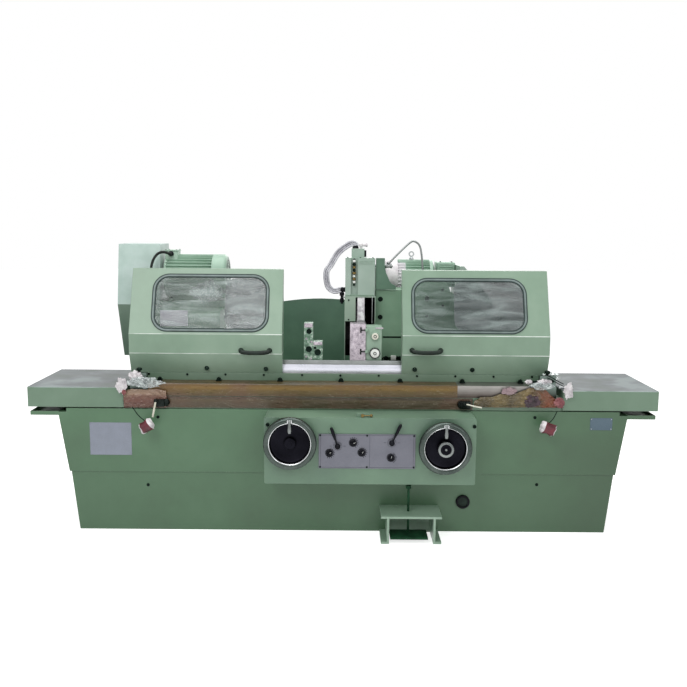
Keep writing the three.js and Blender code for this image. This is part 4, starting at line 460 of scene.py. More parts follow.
BLACK_SCREW = metal("blackened_steel", "#0b1310", "#1a2621", 0.45, rounding_mm=0.5)
GREASY_IRON = metal("greasy_iron", "#101413", "#2b302e", 0.35, patch_mm=14.0)
FOIL = metal("crinkled_foil", "#6d7573", "#e4e9e8", 0.25, patch_mm=9)
# Plastics, rubbers and baked enamels: one colour with a faint bloom and a soft shine, so that the
# eye takes them for things that are moulded or dipped, softer and newer than the castings
LABEL_PLATE = moulded("label_plate", "#e2dcec", "#f4f0fa", 0.5)
SIGHT_GLASS = moulded("oily_sight_glass", "#141e1a", "#2c3a33", 0.45, gloss_level=0.12)
BLACK_KNOB = moulded("black_phenolic", "#05060a", "#0e1018", 0.4, gloss_level=0.12)
GREEN_BLACK = moulded("dark_handle_plastic", "#0a150f", "#15241c", 0.4, gloss_level=0.25)
SEAL_RUBBER = moulded("window_rubber", "#2b3836", "#3c4a48", 0.5, gloss_level=0.2)
SEAL_STRIP = moulded("seal_filler_strip", "#64736f", "#7c8a89", 0.45)
CABLE_RUBBER = moulded("cable_rubber", "#0c100e", "#1a201d", 0.6, gloss_level=0.25)
HOSE_PVC = moulded("hose_pvc", "#9a99a1", "#d8d8de", 0.35, 3.0)
RED_PLASTIC = moulded("red_plastic", "#3e0c17", "#6e1a2a", 0.4)
PINK_FILM = moulded("pink_film", "#65262e", "#a2696a", 0.4, 8.0, 0.5)
PEDAL_GREEN = moulded("pedal_enamel", "#10301e", "#1d4a30", 0.5, gloss_level=0.15)
WHITE_WRAP = moulded("white_wrapping", "#bdb7bb", "#f1eeef", 0.6, 6.0, 0.4)
WHITE_ENAMEL = moulded("white_dial_face", "#dfe3dc", "#f4f6f2", 0.4)
CREAM_ENAMEL = moulded("cream_lever_enamel", "#cfcdb9", "#ebe9dc", 0.35)
# Clear sheets: seen through, with streaks of dried coolant and crumples, painted paler in part as
# highlights, so that the eye finds a pane or a film there at all
PANE = clear_sheet("window_pane", "#3e4a46", 0.25, 0.42, 0.12, 50.0, (0.25, 1, 1.4),
                   pale="#9fadaa")
SOILED = clear_sheet("dried_coolant", "#5e6369", 0.62, 0.86, 0.4, 90.0, (0.5, 1, 1.6),
                     pale="#949a9c")
FILM = clear_sheet("packing_film", "#b9c0c4", 0.25, 0.8, 0.18, 22.0, strength=0.9)
# Oiled packing papers: bands of tone, stains, and creases with painted highlights, which tell the
# eye that the ground faces are still wrapped
# The darkest band at the top of the amber paper, at the ledge's edge, is painted shade
AMBER = waxed_paper("amber_waxed_paper", "Z", 789, 864, [
    (0.0, "#433211"), (1.0, "#392d0c"), (0.2, "#4a3910"), (0.36, "#564411"), (0.52, "#604a11"),
    (0.68, "#745917"), (0.84, "#6b5013"), (0.95, "#5b4511")])
BROWN = waxed_paper("brown_waxed_paper", "Z", 725, 788, [
    (0.0, "#39301a"), (1.0, "#332716"), (0.3, "#3b311a"), (0.5, "#3f341d"), (0.7, "#4a3e24"),
    (0.86, "#382d1a")])
# The pale upper band of the red-brown paper is its crumpled top, partly painted highlight
RED_BROWN = waxed_paper("red_brown_paper", "Z", 724, 832, [
    (0.0, "#4f3527"), (1.0, "#8d7a64"), (0.35, "#5f3a2d"), (0.6, "#6d4a3a"), (0.75, "#a08872")],
    12.0, "#5a2a20")
OLIVE_FILM = waxed_paper("olive_waxed_film", "X", 735, 1240, [
    (0.0, "#5d4f2b"), (1.0, "#6c2a1b"), (0.15, "#483d22"), (0.3, "#6e5e33"), (0.45, "#4b3f1f"),
    (0.6, "#79673b"), (0.72, "#594222"), (0.84, "#804422")], 16.0, "#2d2412", 0.86, stretch=0.7)
PURPLE_PAPER = moulded("dark_oiled_paper", "#1a1014", "#4d3440", 0.5, 6.0, 0.5)
LILAC_PAPER = waxed_paper("lilac_paper", "Z", 795, 900, [
    (0.0, "#988286"), (1.0, "#a59391"), (0.5, "#846c73")], 14.0, "#bea9a9")
for bending in (OLIVE_FILM, RED_BROWN, PURPLE_PAPER, PINK_FILM):
    stays_on_surface(bending)
# The wheel's open, chalky grain, the only surface here that takes no shine
ABRASIVE = grit("white_abrasive", "#cbc6cc", "#ffffff")


# Modelling
def mesh_object(name, bm, materials, smooth=True, sharp=SHARP_ANGLE):
    """Makes the bmesh a linked object, smooth but for its sharp edges."""
    bm.normal_update()
    for face in bm.faces:
        face.smooth = smooth
    for edge in bm.edges:
        edge.smooth = not (edge.is_manifold and edge.calc_face_angle(0) > sharp)
    mesh = bpy.data.meshes.new(name)
    bm.to_mesh(mesh)
    bm.free()
    for material in materials:
        mesh.materials.append(material)
    obj = bpy.data.objects.new(name, mesh)
    bpy.context.scene.collection.objects.link(obj)
    return obj


# The bodies of a soft piece that hangs over the joint of the two tables, the table and the swivel
# table; such a piece is parented to neither and stays where it is made
ACROSS_SWIVEL = ("table", "swivel_table")


def keep_place(obj):
    """Stores where each point lies at rest, for a pattern that stays on a piece that bends."""
    stored = obj.data.attributes.new("rest_place", "FLOAT_VECTOR", "POINT")
    stored.data.foreach_set("vector", [c for v in obj.data.vertices for c in v.co])


def piece(name, bm, material, body, stands_for=(), smooth=True, sharp=SHARP_ANGLE):
    """A finished piece that rides on a CAD body, or lies fixed across the joint of the tables."""
    materials = material if isinstance(material, list) else [material]
    obj = mesh_object(name, bm, materials, smooth, sharp)
    if body == ACROSS_SWIVEL:
        keep_place(obj)
        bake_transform(obj)
    else:
        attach(obj, body)
    if stands_for:
        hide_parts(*stands_for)
    return obj


def points_of(geom):
    """The vertices among what an operator gives back."""
    return [v for v in geom if isinstance(v, bmesh.types.BMVert)]


def across(axis):
    """A unit vector square to the axis."""
    return AXES["z"] if axis != "z" else AXES["x"]


def turn(bm, axis, centre, profile, steps=48, material=0):
    """Spins a profile of radius and place along the axis, in millimetres, round a centre."""
    along, out, hub = AXES[axis], across(axis), Vector(centre) * MM
    verts = [bm.verts.new(hub + out * (r * MM) + along * (a * MM)) for r, a in profile]
    edges = [bm.edges.new(pair) for pair in zip(verts, verts[1:])]
    spun = bmesh.ops.spin(bm, geom=verts + edges, axis=along, cent=hub, steps=steps,
                          angle=math.tau, use_merge=True)
    found = set(verts) | set(points_of(spun["geom_last"]))
    waiting = list(found)
    while waiting:
        for edge in waiting.pop().link_edges:
            for v in edge.verts:
                if v not in found:
                    found.add(v)
                    waiting.append(v)
    bmesh.ops.remove_doubles(bm, verts=list(found), dist=0.02 * MM)
    faces = {f for v in found if v.is_valid for f in v.link_faces}
    bmesh.ops.recalc_face_normals(bm, faces=list(faces))
    for face in faces:
        face.material_index = material


def block(bm, low, high, bevel_mm=1.0, material=0, segments=2):
    """A box between two corners, in millimetres, with rounded edges."""
    low, high = Vector(low) * MM, Vector(high) * MM
    place = Matrix.Translation((low + high) / 2) @ Matrix.Diagonal((*(high - low), 1))
    made = bmesh.ops.create_cube(bm, size=1, matrix=place)["verts"]
    for face in {f for v in made for f in v.link_faces}:
        face.material_index = material
    if bevel_mm:
        edges = list({e for v in made for e in v.link_edges})
        bmesh.ops.bevel(bm, geom=edges, offset=bevel_mm * MM, segments=segments, profile=0.5,
                        affect="EDGES", material=-1)


def screw(bm, axis, sign, centre, radius, height, sides=20, material=0, socket=True):
    """A screw head with a hexagon socket; it stands out along the signed axis."""
    turn(bm, axis, centre, [
        (radius, 0), (radius, sign * height * 0.85), (radius * 0.9, sign * height),
        (radius * 0.55 if socket else 0, sign * height),
        *([(radius * 0.5, sign * height * 0.4), (0, sign * height * 0.4)] if socket else []),
    ], sides, material)


def round_bar(name, kind, points, radius_mm, rings, material, body, stands_for=()):
    """A bar, pipe or cord of even thickness along points, bent evenly if it is a NURBS line."""
    data = bpy.data.curves.new(name, "CURVE")
    data.dimensions = "3D"
    data.bevel_depth = radius_mm * MM
    data.bevel_resolution = rings
    data.use_fill_caps = True
    line = data.splines.new(kind)
    line.points.add(len(points) - 1)
    for spot, point in zip(line.points, points):
        spot.co = (*(Vector(point) * MM), 1)
    if kind == "NURBS":
        line.order_u = 3
        line.use_endpoint_u = True
        line.resolution_u = 6
    data.materials.append(material)
    obj = bpy.data.objects.new(name, data)
    bpy.context.scene.collection.objects.link(obj)
    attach(obj, body)
    if stands_for:
        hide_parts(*stands_for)
    return obj


def tube(name, points, radius_mm, material, body):
    """A round bar that bends evenly between its points."""
    round_bar(name, "NURBS", points, radius_mm, 4, material, body)


def paint_nodes(material, *names):
    """Gives CAD nodes that keep their shape a finish."""
    for name in names:
        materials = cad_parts[name].data.materials
        materials.clear()
        materials.append(material)


def merge(bm, other):
    """Adds another bmesh to this one."""
    mesh = bpy.data.meshes.new("part")
    other.to_mesh(mesh)
    other.free()
    bm.from_mesh(mesh)
    bpy.data.meshes.remove(mesh)


def at(centre):
    """The move from the origin to a place."""
    return Matrix.Translation(Vector(centre) * MM)


def set_in(bm, part, place):
    """Adds a part that was shaped at the origin, moved to its place."""
    bmesh.ops.transform(part, matrix=place, verts=part.verts[:])
    merge(bm, part)


def swung_block(bm, axis, hub, angle, *shape):
    """A block that is shaped beside a hub at the origin, then swung round it and set in."""
    part = bmesh.new()
    block(part, *shape)
    set_in(bm, part, at(hub) @ Matrix.Rotation(angle, 4, axis))


def vents(bm, hub, first, step, face, out):
    """Five round ridges on the flat end of a fan cowl, blackened like its slots."""
    for i in range(5):
        r = first + i * step
        turn(bm, "x", hub, [(r, face), (r, face + out), (r + 4, face + out), (r + 4, face)], 48, 1)


def strip(name, low, high, bevel_mm, material, body, segments=2):
    """A piece that is one block."""
    bm = bmesh.new()
    block(bm, low, high, bevel_mm, 0, segments)
    piece(name, bm, material, body)


def loop_of(bm, points):
    """A closed loop of edges through points in metres."""
    verts = [bm.verts.new(p) for p in points]
    return [bm.edges.new((a, b)) for a, b in zip(verts, verts[1:] + verts[:1])]


def slab(bm, points, thickness):
    """A flat shape with square sides, raised from points in metres by a vector."""
    face = bmesh.ops.contextual_create(bm, geom=loop_of(bm, points))["faces"]
    raised = bmesh.ops.extrude_face_region(bm, geom=face)["geom"]
    bmesh.ops.translate(bm, vec=thickness * MM, verts=points_of(raised))
    bmesh.ops.recalc_face_normals(bm, faces=bm.faces[:])


# Places on the machine as the solids have them
TABLE_TOP = 905
ON_TABLE = 905.3
AXIS_Z = 1085
APRON_Y = -500
PLATE_Y = -505.3
BED_Y = -300
RAIL_Y = -164.3
TABLE_FRONT_Y = -290
HOOD_FOOT_Y, HOOD_BULGE_Y, HOOD_TOP_Y = -161.3, -206.3, -56.3
HOOD_FOOT_Z, HOOD_CREASE_Z, HOOD_BEND_Z, HOOD_TOP_Z = 905.3, 1024.3, 1137.3, 1505.3
WHEEL_Y = 350
HEAD_FRONT_Y = 199.9
HOSE_Y, CAP_Y, PIPE_Y, LEAD_Y = 205, 247.5, 262, -13.5
INFEED_WHEEL_AT = (560, 564)
REAR_COVERS = ((-1380, -700, 120, 560), (980, 1420, 120, 560))
# Name, body, X, Z and lean of each lever of the plate
LEVERS = (("traverse_lever", "traverse_handle", -28, 561, -33),
          ("approach_lever", "approach_handle", 270, 582, 44))
# Name, body, X, Z and tilt of each knob, and the radius, first and last angle of its scale
KNOBS = (("left_dwell_knob", "left_dwell", -73, 522, 40, (27, 20, 200)),
         ("table_speed_knob", "table_speed", 57, 581, 60, (28, -30, 150)),
         ("right_dwell_knob", "right_dwell", 105, 526, 35, (27, -20, 160)),
         ("pump_switch", "pump", 266, 498, 10, (28, 30, 150)))

# The sloped sheet of the hoods, from its lower bend to its top, and the turn that lays the plane
# of X and Z on it
SLOPE_RUN = HOOD_TOP_Y - HOOD_BULGE_Y
SLOPE_RISE = HOOD_TOP_Z - HOOD_BEND_Z
SLOPE = math.atan2(SLOPE_RUN, SLOPE_RISE)
SLOPE_LENGTH = math.hypot(SLOPE_RUN, SLOPE_RISE)
ON_SLOPE = at((0, HOOD_BULGE_Y, HOOD_BEND_Z)) @ Matrix.Rotation(-SLOPE, 4, "X")


# Side, X of the handle, X and Z of the bolts, X of the opening, what is trimmed off its left,
# right and top, and where coolant has dried on the pane: two X and two heights up the slope
HOODS = (("left", -508, ((-794, 933), (-450, 930)), (-1122, -424), (15, 16, 0),
          (-690, -456, 37, SLOPE_LENGTH - 57)),
         ("right", 478, ((415, 934), (750, 934)), (391, 1069), (8, 12, 14),
          (640, 1044, 30, SLOPE_LENGTH - 64)))


# Things behind the windows
def headstock_fittings():
    """The label plate on the headstock's front and the film left on top of it."""
    bm = bmesh.new()
    block(bm, (-1068, -136.8, 1175), (-907, -135.1, 1267), 0.6, 0, 1)
    for x in (-1062, -913):
        for z in (1181, 1261):
            screw(bm, "y", -1, (x, -136.8, z), 3, 1.5, 16, 1, socket=False)
    piece("headstock_label", bm, [LABEL_PLATE, SATIN_STEEL], "headstock")
    crushed("headstock_film", FILM, "headstock", "window_glass",
            ((-906, -58, 1300), (-706, -10, 1428), 11))


# Hoods
HANDLE_HALF, HANDLE_REACH, HANDLE_RADIUS = 82, 36, 12.5
HANDLE_ABOVE_CREASE = {"left": 20, "right": 28}


def hood(side, handle_x, bolts, opening, trims):
    """The bent sheet of a hood without its handle, which has its own finish. The edges of its
    opening are set in by the trims, left, right and top, in millimetres."""
    bm = bmesh.new()
    bm.from_mesh(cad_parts[side + "_hood"].data)
    bmesh.ops.remove_doubles(bm, verts=bm.verts[:], dist=0.01 * MM)
    proud = [v for v in bm.verts if v.co.y < (HOOD_BULGE_Y - 0.5) * MM]
    bmesh.ops.delete(bm, geom=proud, context="VERTS")
    rims = [e for e in bm.edges if e.is_boundary]
    bmesh.ops.holes_fill(bm, edges=rims, sides=0)
    middle_x, middle_z = sum(opening) / 2 * MM, (HOOD_BEND_Z + HOOD_TOP_Z) / 2 * MM
    for v in bm.verts:
        inside = opening[0] - 1 < v.co.x / MM < opening[1] + 1
        if inside and HOOD_BEND_Z + 5 < v.co.z / MM < HOOD_TOP_Z - 5:
            v.co.x += (trims[0] if v.co.x < middle_x else -trims[1]) * MM
            if v.co.z > middle_z:
                v.co += ON_SLOPE.to_3x3() @ Vector((0, 0, -trims[2] * MM))
    bmesh.ops.dissolve_limit(bm, angle_limit=math.radians(0.5), verts=bm.verts[:],
                             edges=bm.edges[:])
    body = "hood_" + side
    piece(side + "_hood_sheet", bm, HOOD_SHEET, body, [side + "_hood"],
          sharp=math.radians(15))
    half = HANDLE_HALF
    z = HOOD_CREASE_Z + HANDLE_ABOVE_CREASE[side]
    reach = HOOD_BULGE_Y - HANDLE_REACH
    line = [(-half, HOOD_BULGE_Y, z), (-half, HOOD_BULGE_Y - 18, z),
            (-half * 0.97, HOOD_BULGE_Y - 31, z - 2), (-half * 0.82, reach, z - 5),
            (-half * 0.5, reach - 1, z - 8), (0, reach - 1, z - 9)]
    line = line + [(-x, y, zz) for x, y, zz in reversed(line[:-1])]
    tube(side + "_hood_handle", [(handle_x + x, y, zz) for x, y, zz in line], HANDLE_RADIUS,
         GREEN_BLACK, body)
    bm = bmesh.new()
    for x in (-half, half):
        turn(bm, "y", (handle_x + x, HOOD_BULGE_Y, z),
             [(0, 0), (15.4, 0), (15.4, -6), (13.5, -9), (9, -9)], 28)
    piece(side + "_handle_feet", bm, GREEN_BLACK, body)
    bm = bmesh.new()
    slope = math.atan2(HOOD_FOOT_Y - HOOD_BULGE_Y, HOOD_CREASE_Z - HOOD_FOOT_Z)
    for x, z in bolts:
        share = (z - HOOD_FOOT_Z) / (HOOD_CREASE_Z - HOOD_FOOT_Z)
        y = HOOD_FOOT_Y + (HOOD_BULGE_Y - HOOD_FOOT_Y) * share
        head = bmesh.new()
        screw(head, "y", -1, (0, 0, 0), 13, 11, 24)
        set_in(bm, head, at((x, y, z)) @ Matrix.Rotation(-slope, 4, "X"))
    piece(side + "_hood_bolts", bm, BLACK_SCREW, body)


CORNER_STEPS = 10


def rounded(left, right, low, high, radius):
    """A rectangle with round corners, as points in its own plane."""
    points = []
    for cx, cy, first in ((right, low, -90), (right, high, 0), (left, high, 90), (left, low, 180)):
        sx, sy = (1 if cx == right else -1), (1 if cy == high else -1)
        for i in range(CORNER_STEPS + 1):
            a = math.radians(first + 90 * i / CORNER_STEPS)
            points.append((cx - sx * radius + radius * math.cos(a),
                           cy - sy * radius + radius * math.sin(a)))
    return points


# Across the seal, from its inner rib round to its slot: out from the opening and up from the
# sheet. The strip that locks it is the groove between the ribs
SEAL_SECTION = [(7.5, 0.4), (7.5, 3.4), (5.8, 5.8), (3, 5.8), (1.4, 4), (-8, 4), (-9.4, 5.8),
                (-13, 5.8), (-15, 3.5), (-15, -5), (-13, -7), (5, -7), (7.5, -5.5), (7.5, -3.4),
                (-0.6, -3.4), (-0.6, 0.4)]
STRIP_AT = 4


def window(side, left, right, high, soiled):
    """A pane held in a rubber seal with two round ribs, and the coolant dried on its inside
    between bounds of X and of the way up the slope."""
    low, radius = 20, 90

    def ring(grow, height):
        flat = rounded(left - grow, right + grow, low - grow, high + grow, radius + grow)
        return [ON_SLOPE @ (Vector((x, -height, z)) * MM) for x, z in flat]

    bm = bmesh.new()
    here = ring(*SEAL_SECTION[0])
    edges = loop_of(bm, here)
    for i, (grow, height) in enumerate(SEAL_SECTION[1:] + SEAL_SECTION[:1]):
        grown = bmesh.ops.extrude_edge_only(bm, edges=edges)["geom"]
        ahead = ring(grow, height)
        for v in points_of(grown):
            near = min(range(len(here)), key=lambda k: (here[k] - v.co).length_squared)
            v.co = ahead[near]
        edges = [e for e in grown if isinstance(e, bmesh.types.BMEdge) and e.is_boundary]
        for face in {f for e in edges for f in e.link_faces}:
            face.material_index = 1 if i == STRIP_AT else 0
        here = ahead
    bmesh.ops.remove_doubles(bm, verts=bm.verts[:], dist=0.01 * MM)
    bmesh.ops.recalc_face_normals(bm, faces=bm.faces[:])
    piece(side + "_window_seal", bm, [SEAL_RUBBER, SEAL_STRIP], "hood_" + side,
          [side + "_hood_window"])
    back = [ON_SLOPE @ (Vector((x, 3.1, z)) * MM) for x, z in rounded(*soiled, 60)]
    for name, points, thickness, material in (("_window_pane", ring(-14.9, -3), -4, PANE),
                                              ("_dried_coolant", back, 0.4, SOILED)):
        bm = bmesh.new()
        slab(bm, points, ON_SLOPE.to_3x3() @ Vector((0, thickness, 0)))
        piece(side + name, bm, material, "hood_" + side)


# Handwheels
def handwheel(name, x, z, body, grip_body, grip_name, dial):
    """A plated rim with a bright inner lip, a black dish, a hub and the ears of the grip."""
    hub = (x, APRON_Y, z)
    bm = bmesh.new()
    turn(bm, "y", hub, [(112, -30), (112, -60), (114, -66), (119, -70.4), (127, -72), (135, -71),
                        (141.5, -67), (145, -61), (146, -53), (146, -44), (143.5, -36), (138, -30),
                        (130, -28), (113, -28), (112, -30)], 96, 0)
    turn(bm, "y", hub, [(112, -57), (110.4, -60), (110.4, -65), (112.6, -69.4), (116, -71.6),
                        (117.5, -70), (113.5, -66), (112.2, -60), (112, -57)], 96, 1)
    turn(bm, "y", hub, [(112, -30), (34, -30), (34, -37), (60, -37.5), (96, -40), (106, -45),
                        (112, -56), (112, -30)], 80, 2)
    turn(bm, "y", hub, [(0, -0.3), (34, -0.3), (34, -56), (31, -61), (26, -63), (13, -63),
                        (11, -61), (0, -61)], 48, 2)
    if dial:
        turn(bm, "y", hub, [(34, -0.3), (91, -0.3), (92, -2), (92, -24), (90, -27.6), (34, -27.6)],
             96, 3)
        for i in range(60):
            swung_block(bm, "Y", hub, i * math.tau / 60, (-0.5, -16 - 6 * (i % 5 == 0), 91.6),
                        (0.5, -4, 92.4), 0, 2)
    for side in (-1, 1):
        x0, x1 = sorted((x + side * 7.3, x + side * 13.3))
        block(bm, (x0, APRON_Y - 89, z + 120), (x1, APRON_Y - 66, z + 137), 3, 1, 3)
    piece(name, bm, [RIM_GREY, CHROME, DARK_DISH, TURNED_STEEL], body, [name])
    bm = bmesh.new()
    pivot = (x, APRON_Y - 81.6, z + 128)
    turn(bm, "x", pivot, [(0, -7), (7, -7), (9, -5.5), (9, 5.5), (7, 7), (0, 7)], 32)
    turn(bm, "x", pivot, [(0, -15), (4.2, -15), (5, -14), (5, -13.2), (3, -13.2), (3, 13.2),
                          (5, 13.2), (5, 14), (4.2, 15), (0, 15)], 20)
    turn(bm, "z", pivot, [(0, -66), (5, -66), (8.2, -64.5), (10.2, -59), (11, -50), (10.6, -40),
                          (9, -27), (7.4, -17), (6.7, -12), (6.7, -4), (0, -4)], 32)
    piece(grip_name, bm, GRIP_STEEL, grip_body, [grip_name])


def fine_knob(x, z):
    """The knurled ring in the middle of the infeed wheel."""
    front = APRON_Y - 85.2
    bm = bmesh.new()
    turn(bm, "y", (x, 0, z), [(43, front + 20), (43, front + 4), (42, front + 1), (40, front),
                              (31, front), (29.5, front + 1.5), (29, front + 7)], 96, 0)
    turn(bm, "y", (x, 0, z), [(29, front + 7), (16, front + 8), (13, front + 4), (10, front + 3),
                              (0, front + 3)], 48, 1)
    turn(bm, "y", (x, 0, z), [(43, front + 20), (43, front + 21.9), (8, front + 21.9),
                              (8, front + 40), (0, front + 40)], 48, 0)
    for i in range(72):
        swung_block(bm, "Y", (x, 0, z), i * math.tau / 72, (-0.7, front + 4.5, 42.4),
                    (0.7, front + 19, 43.4), 0)
    screw(bm, "y", -1, (x, front + 3, z), 6, 5, 20, 0)
    piece("fine_feed_knob_ring", bm, [GRIP_STEEL, DARK_DISH], "fine_knob",
          ["fine_feed_knob"])


# Levers, knobs and scales of the control plate
def control_lever(name, body, x, z, lean):
    """A black lever with a round hub and a handle that thickens towards its end."""
    bm = bmesh.new()
    turn(bm, "y", (x, PLATE_Y, z), [(0, 29), (7, 29), (7, -0.3), (15, -0.3), (15.5, -4),
                                    (15, -18), (13, -23), (9, -26), (0, -26)], 40)
    start = Vector((0, -13, 0))
    end = Vector((lean, -20.8, 100))
    turned = bmesh.new()
    reach = (end - start).length
    turn(turned, "z", (0, 0, 0), [(0, 8), (4.4, 8), (4.4, 38), (6, 44), (8.4, reach * 0.6),
                                  (9.4, reach * 0.86), (9.2, reach), (7, reach + 7),
                                  (3.5, reach + 10.5), (0, reach + 11)], 28)
    aim = (end - start).normalized().to_track_quat("Z", "Y").to_matrix().to_4x4()
    set_in(bm, turned, at(Vector((x, PLATE_Y, z)) + start) @ aim)
    piece(name + "_handle", bm, BLACK_KNOB, body, [name])


def control_knob(name, body, x, z, tilt):
    """A round knob with a raised finger bar and a white line."""
    bm = bmesh.new()
    turn(bm, "y", (x, PLATE_Y, z), [(0, 19.5), (5, 19.5), (5, -0.3), (19, -0.3), (19, -7),
                                    (17.5, -10.5), (15.5, -12), (0, -12)], 48)
    for shape in (((-4.5, -24, -15), (4.5, -11, 15), 2, 0, 3),
                  ((-0.8, -24.4, 3), (0.8, -23.6, 13), 0, 1)):
        swung_block(bm, "Y", (x, PLATE_Y, z), math.radians(tilt), *shape)
    piece(name + "_cap", bm, [BLACK_KNOB, WHITE_ENAMEL], body, [name])


def plate_marks():
    """Plain rings, arcs and ticks round the knobs, and the six screws of the plate."""
    bm = bmesh.new()
    front, back = PLATE_Y - 0.4, PLATE_Y - 0.05
    for _, _, x, z, _, (radius, first, last) in KNOBS:
        for i in range(9):
            a = math.radians(first + (last - first) * i / 8)
            swung_block(bm, "Y", (x, 0, z), a, (-1.5, front, radius - 3),
                        (1.5, back, radius + 4), 0)
        turn(bm, "y", (x, 0, z), [(23.5, back), (23.5, front), (20.5, front), (20.5, back)], 64)
    for _, _, x, z, _ in LEVERS:
        turn(bm, "y", (x, 0, z), [(24, back), (24, front), (22.8, front), (22.8, back)], 64)
        for middle in (x - 38, x + 38):
            block(bm, (middle - 6, front, z - 0.9), (middle + 6, back, z + 0.9), 0)
    for z in (441, 622):
        block(bm, (-122, front, z), (390, back, z + 1), 0)
    for x in (-122, 148, 389):
        block(bm, (x, front, 441), (x + 1, back, 623), 0)
    piece("plate_markings", bm, BLACK_KNOB, "base")
    bm = bmesh.new()
    for x in (-124, 134, 392):
        for z in (443, 621):
            screw(bm, "y", -1, (x, PLATE_Y, z), 5.2, 3, 20)
    piece("plate_screws", bm, BLACK_SCREW, "base")


# Papers that lie on the table fronts
PAPER_THICKNESS = 0.4
CREASE_HEIGHT = 1.1


def crease(point):
    """How far a paper stands off its table at a point."""
    broad = noise.noise(Vector((point.x / 90, point.y / 30, point.z / 22)))
    fine = noise.noise(Vector((point.x / 24 + 7, point.y / 12, point.z / 9)))
    return CREASE_HEIGHT * (0.9 + broad + 0.5 * fine)


def paper(name, path, x0, x1, material, body, node):
    """A thin sheet that follows a path of Y and Z from x0 to x1, slightly creased."""
    lengths = [math.dist(a, b) for a, b in zip(path, path[1:])]
    total = sum(lengths)
    bm = bmesh.new()
    columns, rows = int((x1 - x0) / 9), max(6, int(total / 5))
    bmesh.ops.create_grid(bm, x_segments=columns, y_segments=rows, size=0.5)
    for v in bm.verts:
        x = x0 + (x1 - x0) * (v.co.x + 0.5)
        run = total * (v.co.y + 0.5)
        for (a, b), length in zip(zip(path, path[1:]), lengths):
            if run <= length + 1e-6:
                break
            run -= length
        share = min(1, run / length)
        y, z = a[0] + (b[0] - a[0]) * share, a[1] + (b[1] - a[1]) * share
        square = Vector((0, -(b[1] - a[1]), b[0] - a[0])).normalized()
        spot = Vector((x, y, z))
        v.co = (spot + square * crease(spot)) * MM
    bmesh.ops.solidify(bm, geom=bm.faces[:], thickness=PAPER_THICKNESS * MM)
    bmesh.ops.recalc_face_normals(bm, faces=bm.faces[:])
    obj = piece(name, bm, material, body, [node])


# Motors
MOTOR_RIBS = 34


def motor(name, body, node, centre_y, centre_z, x0, x1, radius, fin, finish, extra):
    """A finned motor housing along X with a fan cowl at one end and a bell at the other."""
    bm = bmesh.new()
    hub = (0, centre_y, centre_z)
    turn(bm, "x", hub, [(0, x0), (radius, x0), (radius, x1), (0, x1)], 64)
    for i in range(MOTOR_RIBS):
        swung_block(bm, "X", hub, math.tau * (i + 0.5) / MOTOR_RIBS, (x0 + 2, -2.1, radius - 3),
                    (x1 - 2, 2.1, radius + fin - 1), 1.2, 0, 1)
    extra(bm, hub, radius + fin)
    piece(name, bm, [finish, BLACK_SCREW, SATIN_STEEL, WHITE_WRAP], body, [node])


def head_motor_ends(bm, hub, shell):
    """Cowl to the right, bell to the left, terminal box on the near side and the foot."""
    turn(bm, "x", hub, [(0, -802), (shell, -802), (shell, -738), (shell - 4, -727),
                        (shell * 0.9, -717), (shell * 0.82, -714), (0, -714)], 72)
    vents(bm, hub, 30, 17, -714.5, 1.3)
    turn(bm, "x", hub, [(14.6, -1100), (60, -1100), (112, -1096), (127, -1090), (127, -1076),
                        (100, -1072), (14.6, -1072), (14.6, -1100)], 64)
    block(bm, (-1088, 136, 1440), (-1014, 247, 1600), 4)
    block(bm, (-1091, 133, 1600), (-1011, 250, 1607), 2)
    for x, y in ((-1084, 140), (-1018, 140), (-1084, 243), (-1018, 243)):
        screw(bm, "z", 1, (x, y, 1607), 4, 3, 16, 1)
    block(bm, (-1064, 127.4, 1300.3), (-836, 292.6, 1390), 4)
    for x in (-1050, -850):
        block(bm, (x - 12, 96, 1300.3), (x + 12, 127.4, 1316), 3)
        screw(bm, "z", 1, (x, 111, 1316), 8, 7, 6, 1, socket=False)


def wheel_motor_ends(bm, hub, shell):
    """Cowl to the left, bell to the right, foot and terminal box at the back."""
    turn(bm, "x", hub, [(0, 350), (shell, 350), (shell + 1, 330), (shell, 296), (shell - 6, 284),
                        (shell * 0.86, 272), (0, 270)], 72, 3)
    vents(bm, hub, 28, 15, 270.4, -1.2)
    turn(bm, "x", hub, [(14.6, 560), (shell * 0.96, 560), (shell * 0.96, 580),
                        (shell * 0.7, 592), (shell * 0.4, 602), (14.6, 602), (14.6, 560)], 64)
    block(bm, (352, 516, 1270.6), (558, 684, 1350), 4)
    block(bm, (390, 700, 1400), (480, 758, 1490), 4)
    turn(bm, "z", (444, 600, 0), [(0, 1540), (15, 1540), (15, 1552), (9, 1557), (9, 1564),
                                  (0, 1564)], 24, 2)
    turn(bm, "y", (444, 600, 1579), [(10, -5), (19, -5), (19, 5), (10, 5), (10, -5)], 32, 2)


